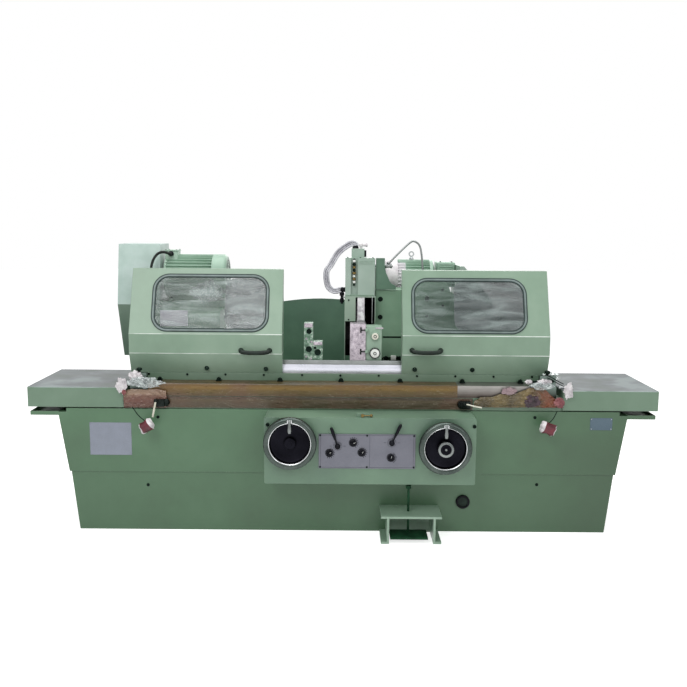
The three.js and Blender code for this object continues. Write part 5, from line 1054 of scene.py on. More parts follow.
# Round pieces whose solids are faceted
def turned_pieces():
    """Finely turned stand-ins for the round solids."""
    bm = bmesh.new()
    hub = (0, WHEEL_Y, AXIS_Z)
    turn(bm, "x", hub, [(200, 80), (200, 130), (80, 130), (80, 80), (200, 80)], 128, 0)
    turn(bm, "x", hub, [(0, 62), (36, 62), (40, 66), (76, 71), (80, 76), (80, 134), (60, 148),
                        (0, 148)], 64, 1)
    for i in range(6):
        a = math.tau * i / 6
        spot = (68, WHEEL_Y + 58 * math.cos(a), AXIS_Z + 58 * math.sin(a))
        screw(bm, "x", -1, spot, 6, 5, 16, 2)
    piece("wheel_on_flange", bm, [ABRASIVE, TURNED_STEEL, BLACK_SCREW], "spindle",
          ["grinding_wheel"])
    bm = bmesh.new()
    turn(bm, "x", (0, 0, AXIS_Z), [
        (18.4, -990), (45, -990), (45, -719.7), (62, -719.7), (62, -702), (66, -700), (78, -700),
        (80, -698), (80, -662), (78, -660), (44, -660), (40, -664), (18.4, -664), (18.4, -990)],
        96, 0)
    turn(bm, "x", (0, 0, AXIS_Z + 58), [(0, -662), (8, -662), (8, -626), (6, -624), (0, -624)],
         28, 0)
    for i in range(1, 6):
        a = math.tau * i / 6
        screw(bm, "x", 1, (-660, 58 * math.sin(a), AXIS_Z + 58 * math.cos(a)), 6, 4, 16, 1)
    piece("driver_plate_turned", bm, [TURNED_STEEL, BLACK_SCREW], "driver",
          ["driver_plate"])
    bm = bmesh.new()
    turn(bm, "x", (0, 0, AXIS_Z), [(0, -1083.7), (18, -1083.7), (18, -640), (16.2, -638),
                                   (16.2, -636), (1, -601), (0, -600)], 48)
    piece("headstock_centre_turned", bm, TURNED_STEEL, "headstock",
          ["headstock_centre"])
    bm = bmesh.new()
    turn(bm, "x", (0, 0, AXIS_Z), [(0, 660), (1, 661), (16, 690), (16, 706), (30, 706), (32, 708),
                                   (32, 970), (0, 970)], 64)
    for x in (728, 740, 752):
        turn(bm, "x", (0, 0, AXIS_Z), [(31.9, x), (32.12, x + 0.5), (31.9, x + 1)], 48, 1)
    piece("tailstock_quill_turned", bm, [SATIN_STEEL, BLACK_SCREW], "quill",
          ["tailstock_quill"])
    bm = bmesh.new()
    lever_y, lever_z = -85.3, TABLE_TOP + 258
    turn(bm, "y", (1056, 0, lever_z), [(0, -46), (11, -46), (11, -72.3), (22, -72.3), (22, -92),
                                       (19, -97), (8, -98.3), (0, -98.3)], 48)
    piece("tail_lever_hub", bm, SATIN_STEEL, "tail_handle", ["tailstock_lever"])
    tube("tail_lever_arm", [(1056, lever_y, lever_z), (960, lever_y, lever_z + 10),
                            (862, lever_y, lever_z + 21.6)], 8, CHROME, "tail_handle")
    bm = bmesh.new()
    bmesh.ops.create_uvsphere(bm, u_segments=32, v_segments=20, radius=12 * MM)
    bmesh.ops.translate(bm, vec=Vector((860, lever_y, lever_z + 22)) * MM, verts=bm.verts[:])
    piece("tail_lever_ball", bm, BLACK_KNOB, "tail_handle")
    for name, body, z, radius, bezel, face in (
            ("upper_dial", "dial_upper", TABLE_TOP + 218, 25, HOOD_GREEN, CREAM_ENAMEL),
            ("lower_dial", "dial_lower", TABLE_TOP + 118, 32, BLACK_KNOB, WHITE_ENAMEL)):
        bm = bmesh.new()
        hub = (184, -124, z)
        turn(bm, "y", hub, [(0, 26), (8, 26), (8, -0.3), (radius, -0.3), (radius, -14),
                            (radius - 2, -17), (radius * 0.8, -17)], 64, 0)
        turn(bm, "y", hub, [(radius * 0.8, -17), (radius * 0.76, -20), (radius * 0.7, -21),
                            (0, -21)], 64, 1)
        turn(bm, "y", hub, [(9.5, -20.9), (9.5, -23), (6, -23), (6, -20.9)], 40, 3)
        for i in range(20):
            swung_block(bm, "Y", hub, i * math.tau / 20, (-0.6, -17.6, radius * 0.84),
                        (0.6, -16.5, radius * 0.93), 0, 2)
        piece(name + "_turned", bm, [bezel, face, WHITE_ENAMEL if radius > 30 else BLACK_SCREW,
                                     BLACK_SCREW], body, [name])
    bm = bmesh.new()
    hub = (698, BED_Y + 8, 181)
    turn(bm, "y", hub, [(0, -0.3), (40, -0.3), (40, -11), (38, -15), (34, -16), (29.5, -15.5),
                        (29, -9)], 72, 0)
    turn(bm, "y", hub, [(29, -9), (10, -10.5), (0, -11)], 48, 1)
    for i in range(4):
        a = math.tau * (i + 0.5) / 4
        screw(bm, "y", -1, (698 + 34.5 * math.cos(a), BED_Y - 7.4, 181 + 34.5 * math.sin(a)),
              3, 2, 12, 0)
    piece("oil_sight_glass", bm, [BLACK_KNOB, SIGHT_GLASS], "base", ["oil_gauge"])


# The rests that stand on the table
def rests():
    """The two-jaw rest and the rest with two dials, with their bolts and clamp handles."""
    tall, short, plate = TABLE_TOP + 293, TABLE_TOP + 185, TABLE_TOP + 289.3
    bm = bmesh.new()
    block(bm, (-231, -130, ON_TABLE), (-178, -68, tall), 3)
    block(bm, (-179, -130, ON_TABLE), (-122, -68, short), 3)
    block(bm, (-231, -130, ON_TABLE), (-122, 52, 931.3), 3)
    block(bm, (-229, -133, tall - 26), (-181, -128, tall - 2), 2, 1)
    block(bm, (-176, -133, short - 22), (-125, -128, short - 2), 2, 1)
    turn(bm, "y", (-204.5, 0, AXIS_Z), [(0, -70), (11, -70), (11, -34), (7, -26), (0, -26)], 32, 1)
    turn(bm, "z", (-150, 0, 0), [(0, 907), (11, 907), (11, 1051), (7, 1059), (0, 1059)], 32, 1)
    for x, z, radius in ((-202, 1149, 15), (-203, 1044, 18), (-151, 1026, 19), (-166, 1052, 8)):
        turn(bm, "y", (x, 0, z), [(0, -129.8), (radius, -129.8), (radius, -131.5),
                                  (radius * 0.8, -131.5), (radius * 0.7, -130.4), (0, -130.4)],
             32, 2)
    for x, z in ((-218, 1106), (-187, 1088), (-218, 1000), (-190, 988)):
        screw(bm, "y", -1, (x, -130, z), 6, 5, 20, 1)
    piece("steady_rest_body", bm, [REST_GREEN, MOTTLED_IRON, BLACK_SCREW], "swivel_table",
          ["steady_rest"])
    bm = bmesh.new()
    block(bm, (38, -136, ON_TABLE), (129.8, -40, plate), 3, 1)
    block(bm, (130.2, -124, ON_TABLE), (224, -40, plate - 12), 4, 0)
    block(bm, (129, -120, ON_TABLE), (131, -44, plate - 15), 0, 0)
    for z in (1160, 1033):
        block(bm, (126, -150, z - 8), (142, -123, z + 8), 2, 0)
        turn(bm, "x", (0, -143, z), [(0, 101), (3.4, 101), (3.4, 128), (0, 128)], 20, 2)
        turn(bm, "z", (101, -143, 0), [(0, z - 17), (4, z - 16), (4.6, z - 13), (3.4, z),
                                       (4.6, z + 13), (4, z + 16), (0, z + 17)], 20, 2)
    screw(bm, "y", -1, (52, -136, plate - 22), 6, 2, 20, 1)
    block(bm, (186, -128, 1166), (232, -122, 1174), 1, 1)
    piece("dial_rest_body", bm, [HOOD_GREEN, MOTTLED_IRON, BLACK_SCREW], "swivel_table",
          ["dial_rest"])


# Table fittings
def table_fittings():
    """Rail screws, clamp bolts on the ledge, the end clamps' bolts and the lips of the table
    front.
    """
    bm = bmesh.new()
    for i in range(11):
        screw(bm, "y", -1, (-1134 + i * 223.5, RAIL_Y, 896 - (i % 2)), 6.5, 4, 20)
    piece("rail_screws", bm, BLACK_SCREW, "swivel_table")
    bm = bmesh.new()
    for x in (-1065, -722, -367, -13, 330, 691, 1028):
        block(bm, (x - 16, -214, 865), (x + 16, -176, 871), 1.5)
        turn(bm, "z", (x, -196, 0), [(0, 871), (12, 871), (12, 881), (10, 883), (5, 883),
                                     (5, 886), (0, 886)], 6)
    piece("ledge_clamps", bm, BLACK_SCREW, "swivel_table")
    bm = bmesh.new()
    for side in (-1, 1):
        x = side * 1165
        screw(bm, "y", -1, (x - 24, TABLE_FRONT_Y, 893), 9, 8, 24, 0)
        screw(bm, "y", -1, (x + 24, TABLE_FRONT_Y, 893), 9, 8, 24, 0)
        turn(bm, "z", (x, -270, 0), [(0, 924), (8, 924), (8, 934), (16, 936), (17, 946),
                                     (12, 950), (0, 950)], 32, 0)
        turn(bm, "x", (0, -262, 852), [(0, side * 1234), (10, side * 1234), (10, side * 1262),
                                       (7, side * 1266), (0, side * 1266)], 24, 1)
    piece("end_clamp_bolts", bm, [BLACK_SCREW, SATIN_STEEL], "swivel_table")
    strip("table_front_lip", (-1112, -142.5, ON_TABLE), (1110, -138, 955), 1.2, LIP_STEEL,
          "swivel_table")
    strip("table_upper_lip", (-424, -141.5, 955.1), (391, -138, 981), 1, DULL_STEEL,
          "swivel_table")


def dog(side, x, lever, radius):
    """A greasy stop in the slot of the table front, with its cream lever."""
    bm = bmesh.new()
    block(bm, (x - 30, -326.6, 734), (x + 30, -295.2, 778), 4)
    turn(bm, "y", (x + (35 if side == "left" else -22), 0, 757), [
        (0, -295.2), (22, -295.2), (22, -312), (18, -318), (0, -318)], 32)
    turn(bm, "y", (lever[0][0], 0, lever[0][2]), [(0, -320), (10, -320), (10, -340), (8, -341.6),
                                                  (0, -341.6)], 28)
    body = "dog_" + side
    piece(side + "_dog_stop", bm, GREASY_IRON, body, [side + "_dog"])
    tube(side + "_dog_lever", lever, radius, CREAM_ENAMEL, body)


def wad(bm, low, high, seed):
    """Wrapping crushed into a lump between two corners."""
    lump = bmesh.new()
    bmesh.ops.create_icosphere(lump, subdivisions=4, radius=1)
    middle, half = (Vector(low) + Vector(high)) / 2, (Vector(high) - Vector(low)) / 2
    for v in lump.verts:
        way = v.co.normalized()
        reach = (0.7 + 0.34 * noise.noise(way * 1.7 + Vector((seed, 0, 0)))
                 + 0.5 * abs(noise.noise(way * 3.5 + Vector((0, seed, 0))))
                 + 0.3 * abs(noise.noise(way * 8 + Vector((0, 0, seed)))))
        v.co = Vector(m + h * w * reach for m, h, w in zip(middle, half, way)) * MM
    merge(bm, lump)


def crushed(name, material, body, slot, *lumps):
    """A piece of crushed lumps; each has two corners and the seed of its folds."""
    bm = bmesh.new()
    for lump in lumps:
        wad(bm, *lump)
    return piece(name, bm, material, body)


def table_ends():
    """The crushed film, foil and rags that are left on both ends of the table."""
    crushed("table_end_rags", WHITE_WRAP, "swivel_table", "amber_paper",
            ((-1226, -312, 878), (-1140, -262, 934), 1), ((1104, -318, 874), (1188, -262, 906), 4),
            ((1036, -306, 876), (1080, -268, 900), 5))
    crushed("way_cover_rags", WHITE_WRAP, "table", "amber_paper",
            ((-1286, -338, 808), (-1222, -302, 903), 2), ((1247, -340, 800), (1305, -302, 890), 3))
    crushed("table_end_foil", FOIL, "swivel_table", "bright_steel",
            ((1126, -290, 888), (1246, -215, 937), 6))
    crushed("table_end_film", FILM, "swivel_table", "window_glass",
            ((-1236, -330, 842), (-1016, -293, 902), 12),
            ((1060, -330, 846), (1196, -293, 892), 13))
    crushed("pink_rag", PINK_FILM, ACROSS_SWIVEL, "amber_paper",
            ((1200, -336, 744), (1256, -306, 806), 7))
    keep_place(crushed("pink_tuft", PINK_FILM, "table", "amber_paper",
                       ((-1254, -342, 800), (-1230, -306, 838), 8)))
    crushed("oiled_rag", PURPLE_PAPER, ACROSS_SWIVEL, "amber_paper",
            ((1028, -338, 745), (1124, -300, 818), 9))
    crushed("lilac_rag", LILAC_PAPER, "swivel_table", "amber_paper",
            ((902, -312, 808), (986, -292, 858), 10))
    bm = bmesh.new()
    block(bm, (1078, -290, 872), (1124, -262, 892), 5)
    # The two black discs at the left end stand for the shade inside two holes of the end clamp:
    # painted shade
    foot = TABLE_FRONT_Y - 0.2
    turn(bm, "y", (-1126, 0, 876), [(0, foot), (14, foot), (14, -298), (11, -302), (0, -302)], 32)
    turn(bm, "y", (-1178, 0, 855), [(0, foot), (7, foot), (7, -296), (0, -297)], 24)
    piece("table_end_black_pieces", bm, BLACK_SCREW, "swivel_table")
    for i, drop in enumerate((0, 13)):
        tube("foil_wire_%d" % (i + 1), [(1160, -296, 926 - drop), (1180, -302, 920 - drop),
                                        (1216, -304, 897 - drop), (1252, -306, 880 - drop)], 2.4,
             BLACK_SCREW, "swivel_table")


def hanging_tags():
    """A red and white spool on a pin at each end of the bed front, with its loose wire."""
    for name, centre, lean, wire, red in (
            ("left", (-1104, -386, 636), (0.795, 0, 0.61), ((-1190, -352, 740), (-1168, -352, 704),
                                                          (-1142, -356, 676)), (-24, 24)),
            ("right", (1150, -386, 641), (0.91, 0, -0.41), ((1208, -352, 730), (1196, -352, 700),
                                                          (1176, -356, 674)), (-22, 36))):
        x, y, z = centre
        bm = bmesh.new()
        roll = bmesh.new()
        first, last = red
        turn(roll, "z", (0, 0, 0), [(0, -38), (9, -38), (9, -34), (26, -36), (31, -31),
                                    (33, first)], 40, 1)
        turn(roll, "z", (0, 0, 0), [(33, first), (34, first + 2), (30, (first + last) / 2),
                                    (34, last - 2), (33, last)], 40, 2)
        turn(roll, "z", (0, 0, 0), [(33, last), (31, last + 3), (24, max(last + 4, 37)),
                                    (0, max(last + 5, 38))], 40, 1)
        for v in roll.verts:
            v.co *= 1 + 0.22 * noise.noise(v.co * 45 + Vector((x, 0, 0)))
        aim = Vector(lean).to_track_quat("Z", "Y").to_matrix().to_4x4()
        set_in(bm, roll, at(centre) @ aim)
        turn(bm, "y", (x, 0, z), [(0, BED_Y), (6, BED_Y), (6, y), (0, y)], 20, 0)
        piece(name + "_tag", bm, [BLACK_SCREW, WHITE_WRAP, RED_PLASTIC], "base")
        tube(name + "_tag_wire", [*wire, (x, y + 20, z + 16)], 2.6, BLACK_SCREW, "base")


# Bed, apron and wheelhead fittings
RIVET_INSET = 7


def bare_plate(name, x0, x1, z0, z1, sheet, rivet):
    """A bare sheet plate on the front of the bed, held by four rivets."""
    bm = bmesh.new()
    front = BED_Y - 1.6
    block(bm, (x0, front, z0), (x1, BED_Y - 0.1, z1), 0.6, 0, 1)
    for x in (x0 + RIVET_INSET, x1 - RIVET_INSET):
        for z in (z0 + RIVET_INSET, z1 - RIVET_INSET):
            screw(bm, "y", -1, (x, front, z), 2.6, 1.6, 16, 1, socket=False)
    piece(name, bm, [sheet, rivet], "base")


def bed_fittings():
    """Bare plates, plugs and bolts on the front, covers and louvres on the back and ends."""
    bare_plate("left_bare_plate", -1450, -1211, 446, 636, PLATE_PALE, PLATE_PALE)
    bare_plate("right_bare_plate", 1414, 1541, 613, 684, PLATE_BLUE, SATIN_STEEL)
    bm = bmesh.new()
    for x, y, z in ((-1124, BED_Y + 8, 267), (1124, BED_Y + 8, 286), (-1057, BED_Y, 670),
                    (1097, BED_Y, 684)):
        turn(bm, "y", (x, y, z), [(0, -0.2), (9, -0.2), (9, -2), (7, -3), (0, -3)], 24)
    for x, z in ((-413, 678), (722, 676)):
        screw(bm, "y", -1, (x, APRON_Y, z), 10, 8, 24)
    piece("front_bolts", bm, BLACK_SCREW, "base")
    bm = bmesh.new()
    for x0, x1, z0, z1 in REAR_COVERS:
        block(bm, (x0, 300.2, z0), (x1, 304, z1), 2)
        for i in range(7):
            z = z0 + 120 + i * 30
            block(bm, (x0 + 90, 303, z), (x1 - 90, 311, z + 8), 3)
    block(bm, (-380, 1180.2, 90), (760, 1184, 600), 2)
    block(bm, (-70, 1183, 300), (70, 1189, 330), 2)
    piece("rear_covers", bm, BED_GREEN, "base")
    bm = bmesh.new()
    for x0, x1, z0, z1, y in (*((*cover, 304) for cover in REAR_COVERS),
                              (-380, 760, 90, 600, 1184)):
        for x in (x0 + 18, (x0 + x1) / 2, x1 - 18):
            for z in (z0 + 18, z1 - 18):
                screw(bm, "y", 1, (x, y, z), 7, 5, 20)
    for side in (-1, 1):
        for y in (-200, 200):
            turn(bm, "x", (0, y, 180), [(0, side * 1546), (24, side * 1546), (24, side * 1552),
                                        (19, side * 1554), (0, side * 1554)], 32)
    piece("rear_cover_screws", bm, BLACK_SCREW, "base")


def wheelhead_fittings():
    """Plugs, slot and lamp on the wheelhead front, fittings on the box over the guard."""
    front = HEAD_FRONT_Y
    bm = bmesh.new()
    for z in (1313, 1201):
        turn(bm, "y", (226, 200, z), [(0, -0.2), (15, -0.2), (15, -3), (12, -5), (7, -5), (6, -2),
                                      (0, -2)], 28, 0)
    block(bm, (243, 198.6, 1071), (716, front, 1081), 0, 0)
    piece("wheelhead_plugs", bm, BLACK_SCREW, "wheelhead")
    strip("white_plug", (296, 188, 932), (328, front, 962), 3, WHITE_ENAMEL, "wheelhead")
    bm = bmesh.new()
    for x in (266, 354):
        turn(bm, "y", (x, 0, 944), [(0, front), (14, front), (14, 190), (10, 186), (0, 186)], 28)
    block(bm, (328, 190, 936), (345, front, 956), 2)
    turn(bm, "y", (515, 0, 1320), [(0, front), (150, front), (150, 197.5), (147, 196), (0, 196)],
         96, 1)
    turn(bm, "y", (515, 0, 1320), [(0, 196), (16, 196), (16, 190), (12, 187), (0, 187)], 6)
    for x, z in ((609, 1375), (612, 1276), (421, 1375), (418, 1276), (515, 1210)):
        screw(bm, "y", -1, (x, 196, z), 8, 5, 24)
    piece("wheelhead_cover", bm, [BLACK_SCREW, CAST_GREEN], "wheelhead")
    bm = bmesh.new()
    for z, material, r in ((1412, 1, 9), (1430, 0, 11), (1448, 1, 8), (1466, 0, 12), (1484, 2, 9),
                           (1502, 0, 10), (1520, 2, 11), (1540, 1, 9)):
        turn(bm, "z", (62, 176, 0), [(0, z), (r - 2, z), (r, z + 2), (r, z + 12), (r - 2, z + 14),
                                     (0, z + 14)], 8 if material == 0 else 28, material)
    turn(bm, "z", (62, 176, 0), [(0, 1396), (4, 1396), (4, 1562), (0, 1562)], 20, 2)
    for z in (1400, 1556):
        block(bm, (55, 172, z - 4), (69, 191.2, z + 4), 1, 2)
    piece("groove_fittings", bm, [BRASS, WHITE_ENAMEL, BLACK_SCREW], "wheelhead")
    bm = bmesh.new()
    turn(bm, "z", (-12, 205, 0), [(0, 1282), (7, 1282), (8, 1290), (13, 1292), (13, 1312),
                                  (9, 1316), (9, 1330), (15, 1332), (15, 1350), (10, 1354),
                                  (10, 1384), (0, 1384)], 28, 0)
    turn(bm, "x", (0, 205, 1322), [(0, -12), (6, -12), (6, 4.9), (0, 4.9)], 24, 1)
    turn(bm, "x", (0, 205, 1369.4), [(0, -16), (15, -16), (15, 7.7), (0, 7.7)], 28, 0)
    piece("hose_fitting", bm, [BLACK_KNOB, SATIN_STEEL], "wheelhead")
    bm = bmesh.new()
    block(bm, (124, 222, 1570), (137, 258, 1612), 2, 0)
    block(bm, (88, 205.5, 1600), (112, 215, 1620), 2, 0)
    piece("cap_switch", bm, BLACK_KNOB, "wheelhead")
    bm = bmesh.new()
    for z in (1545, 1537, 1529):
        block(bm, (92, 163.6, z), (184, 164.9, z + 2), 0.5, 0, 1)
    block(bm, (12, 161, 1336), (186, 165, 1341), 1, 0, 1)
    for x in (22, 100, 176):
        screw(bm, "z", 1, (x, 180, 1566.4), 5, 4, 20, 1)
    piece("guard_box_trim", bm, [HOOD_GREEN, BLACK_SCREW], "wheelhead")
    bm = bmesh.new()
    for x, z in ((30, 1190), (30, 1310)):
        screw(bm, "y", -1, (x, 138, z), 5, 4, 20)
    piece("guard_strip_screws", bm, BLACK_SCREW, "wheelhead")
    bm = bmesh.new()
    block(bm, (606, 500, 1467), (722, 700, 1530), 8, 0, 3)
    for z in (1482, 1498, 1514):
        block(bm, (622, 496.5, z), (706, 501, z + 5), 1.5, 0, 1)
    for x in (628, 700):
        screw(bm, "z", 1, (x, 520, 1530), 6, 5, 20, 1)
    piece("pulley_cover", bm, [MOTOR_GREEN, BLACK_SCREW], "wheelhead")
    # A dark plate under the pulley cover, behind the window, that fills the gap there with painted
    # shade
    bm = bmesh.new()
    block(bm, (606, 474, 1370.3), (722, 486, 1466.6), 3)
    for x in (622, 706):
        screw(bm, "y", -1, (x, 474, 1386), 6, 5, 20, 1)
    piece("shade_filler_plate", bm, [SHADE_GREEN, BLACK_SCREW], "wheelhead")
    strip("spark_strip", (84, 140.5, 1186), (127, 145, 1331), 1, ABRASIVE, "wheelhead",
          1)
    strip("guard_right_lip", (172, 137.5, 1168), (176, 146, 1334), 1, SATIN_STEEL, "wheelhead",
          1)
    outline = [(195.3, 1373), (320, 1373), (320, 1396), (296, 1407), (282, 1424), (270, 1450),
               (259, 1477), (251.5, 1505), (250, 1530), (250.6, 1566), (195.3, 1566)]
    bm = bmesh.new()
    slab(bm, [Vector((x, 190.8, z)) * MM for x, z in outline], Vector((0, -6, 0)))
    piece("guard_shoulder_plate", bm, SHADE_GREEN, "wheelhead", smooth=False)


# Pipes, hoses and cables
STEPS_BETWEEN = 8


def smooth_line(points):
    """A smooth run of points through the given ones."""
    pts = [Vector(p) for p in points]
    pts = [pts[0] * 2 - pts[1], *pts, pts[-1] * 2 - pts[-2]]
    run = []
    for p0, p1, p2, p3 in zip(pts, pts[1:], pts[2:], pts[3:]):
        for i in range(STEPS_BETWEEN):
            t = i / STEPS_BETWEEN
            run.append(0.5 * (2 * p1 + (p2 - p0) * t + (2 * p0 - 5 * p1 + 4 * p2 - p3) * t * t
                              + (3 * p1 - p0 - 3 * p2 + p3) * t ** 3))
    return [*run, pts[-2]]


def cord(name, line, radius_mm, material, body, stands_for):
    """A hose or cable through many points."""
    obj = round_bar(name, "POLY", line, radius_mm, 5, material, body, stands_for)


HOSE_ROUTE = [(70, CAP_Y, 1622.9), (70, CAP_Y, 1646.6), (34, 235.5, 1649), (-34, HOSE_Y, 1598.6),
              (-81, HOSE_Y, 1523), (-109, HOSE_Y, 1474.7), (-99.6, HOSE_Y, 1393.4),
              (-62, HOSE_Y, 1362), (-16, HOSE_Y, 1369.4), (7.7, HOSE_Y, 1369.4)]
CABLE_ROUTE = [(-1051, 135.7, 1585), (-1051, 98.7, 1585), (-1088, 71, 1596), (-1125, 60, 1577.6),
               (-1150.9, 37.8, 1511), (-1158.3, 0.8, 1338.6), (-1150.9, LEAD_Y, 1227.6),
               (-1149, LEAD_Y, 1190.6), (-1112.3, LEAD_Y, 1190.6)]
PIPE_ROUTE = [(492, PIPE_Y, 1370.3), (492, PIPE_Y, 1460), (481.2, PIPE_Y, 1586),
              (466, PIPE_Y, 1644.4), (433.7, PIPE_Y, 1668), (405.6, PIPE_Y, 1658),
              (340.8, PIPE_Y, 1596.8), (290, PIPE_Y, 1542.8), (276, PIPE_Y, 1521.8)]


def hoses_and_pipes():
    """The grey hose bundle, the motor's cable and the steel coolant pipe with its valve."""
    middle = smooth_line(HOSE_ROUTE)
    last = len(middle) - 1
    for name, out, near, radius, node in (("hose_inner", -13, -3, 6.2, []),
                                          ("hose_middle", 0, 6, 7, ["coolant_hose"]),
                                          ("hose_outer", 13, -3, 6.2, [])):
        line = []
        for k, point in enumerate(middle):
            ahead = middle[min(k + 1, last)] - middle[max(k - 1, 0)]
            side = Vector((ahead.z, 0, -ahead.x)).normalized()
            ease = min(1, k / 10, (last - k) / 10)
            line.append(point + side * out * (0.5 + 0.5 * ease) + Vector((0, near, 0)) * ease)
        cord(name, line, radius, HOSE_PVC, "wheelhead", node)
    bm = bmesh.new()
    turn(bm, "z", (70, CAP_Y, 0), [(0, 1620.4), (20, 1620.4), (20, 1626), (17, 1634), (16, 1640),
                                   (0, 1640)], 32)
    piece("hose_collar", bm, BLACK_KNOB, "wheelhead")
    bm = bmesh.new()
    turn(bm, "z", (104, CAP_Y, 0), [(0, 1622.4), (9, 1622.4), (9, 1634), (13, 1636), (13, 1650),
                                    (9, 1654), (0, 1654)], 28)
    turn(bm, "x", (0, CAP_Y, 1643), [(0, 100), (8, 100), (8, 132), (11, 134), (11, 144),
                                     (0, 145)], 28)
    piece("cap_coupling", bm, WHITE_WRAP, "wheelhead")
    cord("motor_lead", smooth_line(CABLE_ROUTE), 8, CABLE_RUBBER, "headstock",
         ["motor_cable"])
    bm = bmesh.new()
    turn(bm, "y", (-1051, 0, 1585), [(8.2, 136), (16, 136), (16, 126), (13, 122), (11, 108),
                                     (8.2, 106)], 32)
    turn(bm, "x", (0, LEAD_Y, 1190.6), [(8.2, -1112), (16, -1112), (16, -1122), (13, -1126),
                                       (11, -1138), (8.2, -1140)], 32)
    piece("cable_glands", bm, BLACK_KNOB, "headstock")
    round_bar("steel_coolant_pipe", "POLY", smooth_line(PIPE_ROUTE), 6, 5, DULL_STEEL, "wheelhead",
              ["coolant_pipe"])
    bm = bmesh.new()
    turn(bm, "z", (492, PIPE_Y, 0), [(6, 1370.3), (16, 1370.3), (16, 1384), (12, 1390),
                                     (6, 1392)], 6)
    z = 1514.8
    turn(bm, "x", (0, PIPE_Y, z), [(0, 190.4), (9, 190.4), (9, 250), (15, 252), (15, 264),
                                   (12, 266), (12, 286), (15, 288), (15, 298), (0, 300)], 32)
    turn(bm, "y", (276, 0, z), [(0, PIPE_Y), (8, PIPE_Y), (8, 246), (6, 244), (6, 224),
                                (0, 224)], 28)
    block(bm, (250, 218, z - 5), (302, 226, z + 5), 2)
    turn(bm, "z", (276, PIPE_Y, 0), [(10, z + 8), (11, z + 10), (11, z + 22), (6, z + 26)], 6)
    piece("coolant_tap", bm, DULL_STEEL, "wheelhead")


# Papers and film that hang at the ends of the tables
def along(curve, share):
    """The point at a share of a run of X and Z points."""
    place = share * (len(curve) - 1)
    i = min(int(place), len(curve) - 2)
    (x0, z0), (x1, z1) = curve[i], curve[i + 1]
    return Vector((x0 + (x1 - x0) * (place - i), 0, z0 + (z1 - z0) * (place - i)))


def crumpled(name, top, low, y, bulge, fold_mm, material, body, size):
    """A crumpled sheet that hangs between a top and a low edge in front of the table."""
    bm = bmesh.new()
    bmesh.ops.create_grid(bm, x_segments=size[0], y_segments=size[1], size=0.5)
    for v in bm.verts:
        u, w = v.co.x + 0.5, v.co.y + 0.5
        spot = along(low, u).lerp(along(top, u), w)
        broad = noise.noise(Vector((spot.x / 55, spot.z / 30, bulge)))
        fine = noise.noise(Vector((spot.x / 19, spot.z / 13, bulge + 5)))
        spot.y = y - bulge * math.sin(math.pi * w) - fold_mm * (1.4 * abs(broad) + 0.8 * abs(fine))
        spot.x += 3 * broad
        v.co = spot * MM
    area = sum(face.calc_area() for face in bm.faces)
    bmesh.ops.solidify(bm, geom=bm.faces[:], thickness=PAPER_THICKNESS * MM)
    bmesh.ops.recalc_face_normals(bm, faces=bm.faces[:])
    obj = piece(name, bm, material, body)


FILM_TOP = [(745, 776), (779, 802), (813, 803), (847, 802), (892, 820), (926, 818), (961, 815),
            (1017, 838), (1061, 856), (1107, 862), (1147, 851), (1182, 816), (1218, 782),
            (1236, 762)]
FILM_LOW = [(745, 748), (779, 743), (813, 742), (847, 742), (892, 742), (926, 742), (961, 742),
            (1017, 743), (1061, 745), (1107, 744), (1147, 742), (1182, 743), (1218, 744),
            (1236, 746)]


def papers():
    """Amber and brown oiled paper on the table fronts, and the film peeled off at both ends."""
    front = TABLE_FRONT_Y - 1.2
    paper("upper_paper", [(front, 793.5), (front, 862.9), (-290.4, 863.4), (-172, 863.4)], -1112,
          652, AMBER, "swivel_table", "upper_table_wrap")
    paper("lower_paper", [(front, 725), (front, 790.5)], -1112, 740, BROWN, "table",
          "lower_table_wrap")
    crumpled("peeled_film", FILM_TOP, FILM_LOW, -301, 12, 11, OLIVE_FILM, ACROSS_SWIVEL,
             (110, 36))
    crumpled("end_paper", [(-1249, 822), (-1200, 834), (-1120, 830), (-1060, 834), (-1005, 824)],
             [(-1249, 725), (-1200, 726), (-1120, 726), (-1060, 727), (-1005, 727)], -302, 5, 9,
             RED_BROWN, ACROSS_SWIVEL, (80, 36))


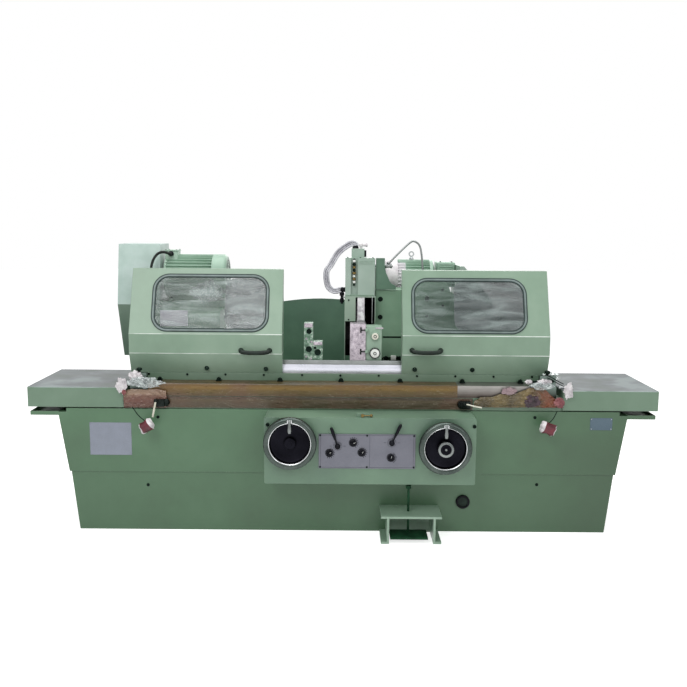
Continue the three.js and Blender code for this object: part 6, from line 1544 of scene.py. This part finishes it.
camera()
hoses_and_pipes()
for side, handle_x, bolts, opening, trims, soiled in HOODS:
    hood(side, handle_x, bolts, opening, trims)
    window(side, opening[0] + trims[0], opening[1] - trims[1], SLOPE_LENGTH - 40 - trims[2],
           soiled)
handwheel("table_handwheel", -288, 585, "table_wheel", "table_grip", "table_wheel_grip", False)
handwheel("infeed_handwheel", *INFEED_WHEEL_AT, "infeed_wheel", "infeed_grip",
          "infeed_wheel_grip", True)
fine_knob(*INFEED_WHEEL_AT)
for lever in LEVERS:
    control_lever(*lever)
for *knob, _ in KNOBS:
    control_knob(*knob)
plate_marks()
motor("headstock_motor_housing", "headstock", "headstock_motor", 210, 1445, -1086, -800, 118, 18,
      MOTOR_GREEN, head_motor_ends)
motor("wheel_motor_housing", "wheelhead", "wheel_motor", 600, 1414.3, 346, 562, 112, 18,
      WRAPPED_MOTOR, wheel_motor_ends)
turned_pieces()
rests()
table_fittings()
headstock_fittings()
hanging_tags()
bed_fittings()
wheelhead_fittings()
papers()
dog("left", -1045, [(-1060, -336, 772), (-1066, -336.4, 740), (-1074, -336.6, 706),
                    (-1079, -336.6, 678)], 5.6)
dog("right", 695, [(689, -336, 764), (704, -336.6, 765), (746, -336.6, 752), (786, -336.6, 746)],
    4.2)
table_ends()

paint_nodes(BED_GREEN, "bed")
paint_nodes(APRON_GREEN, "front_apron")
paint_nodes(TABLE_GREEN, "lower_table", "hood_rail")
paint_nodes(WAY_GREEN, "left_way_cover", "right_way_cover")
paint_nodes(PALE_GREEN, "wheelhead_belt_guard", "guard_top_box")
paint_nodes(HEAD_GUARD, "headstock_belt_guard")
# The pedal guard takes the lighter hood green so that its top, in the apron's shadow, shows
# lighter: painted light
paint_nodes(HOOD_GREEN, "pedal_guard")
paint_nodes(WHEEL_GUARD_GREEN, "wheel_guard")
paint_nodes(CAST_GREEN, "headstock_body", "tailstock_body", "wheelhead_body", "wheelhead_slide")
paint_nodes(SHADE_GREEN, "rear_splash_guard")
paint_nodes(PLATE_GREY, "control_plate")
paint_nodes(TABLE_IRON, "upper_table")
paint_nodes(SATIN_STEEL, "wheel_spindle", "headstock_motor_pulley", "headstock_input_pulley",
            "wheel_motor_pulley")
paint_nodes(PEDAL_GREEN, "foot_pedal")
paint_nodes(BRASS, "reverse_lever")
paint_nodes(CABLE_RUBBER, "headstock_belt", "wheelhead_belt")

studio()
bpy.context.scene.view_settings.view_transform = "Standard"
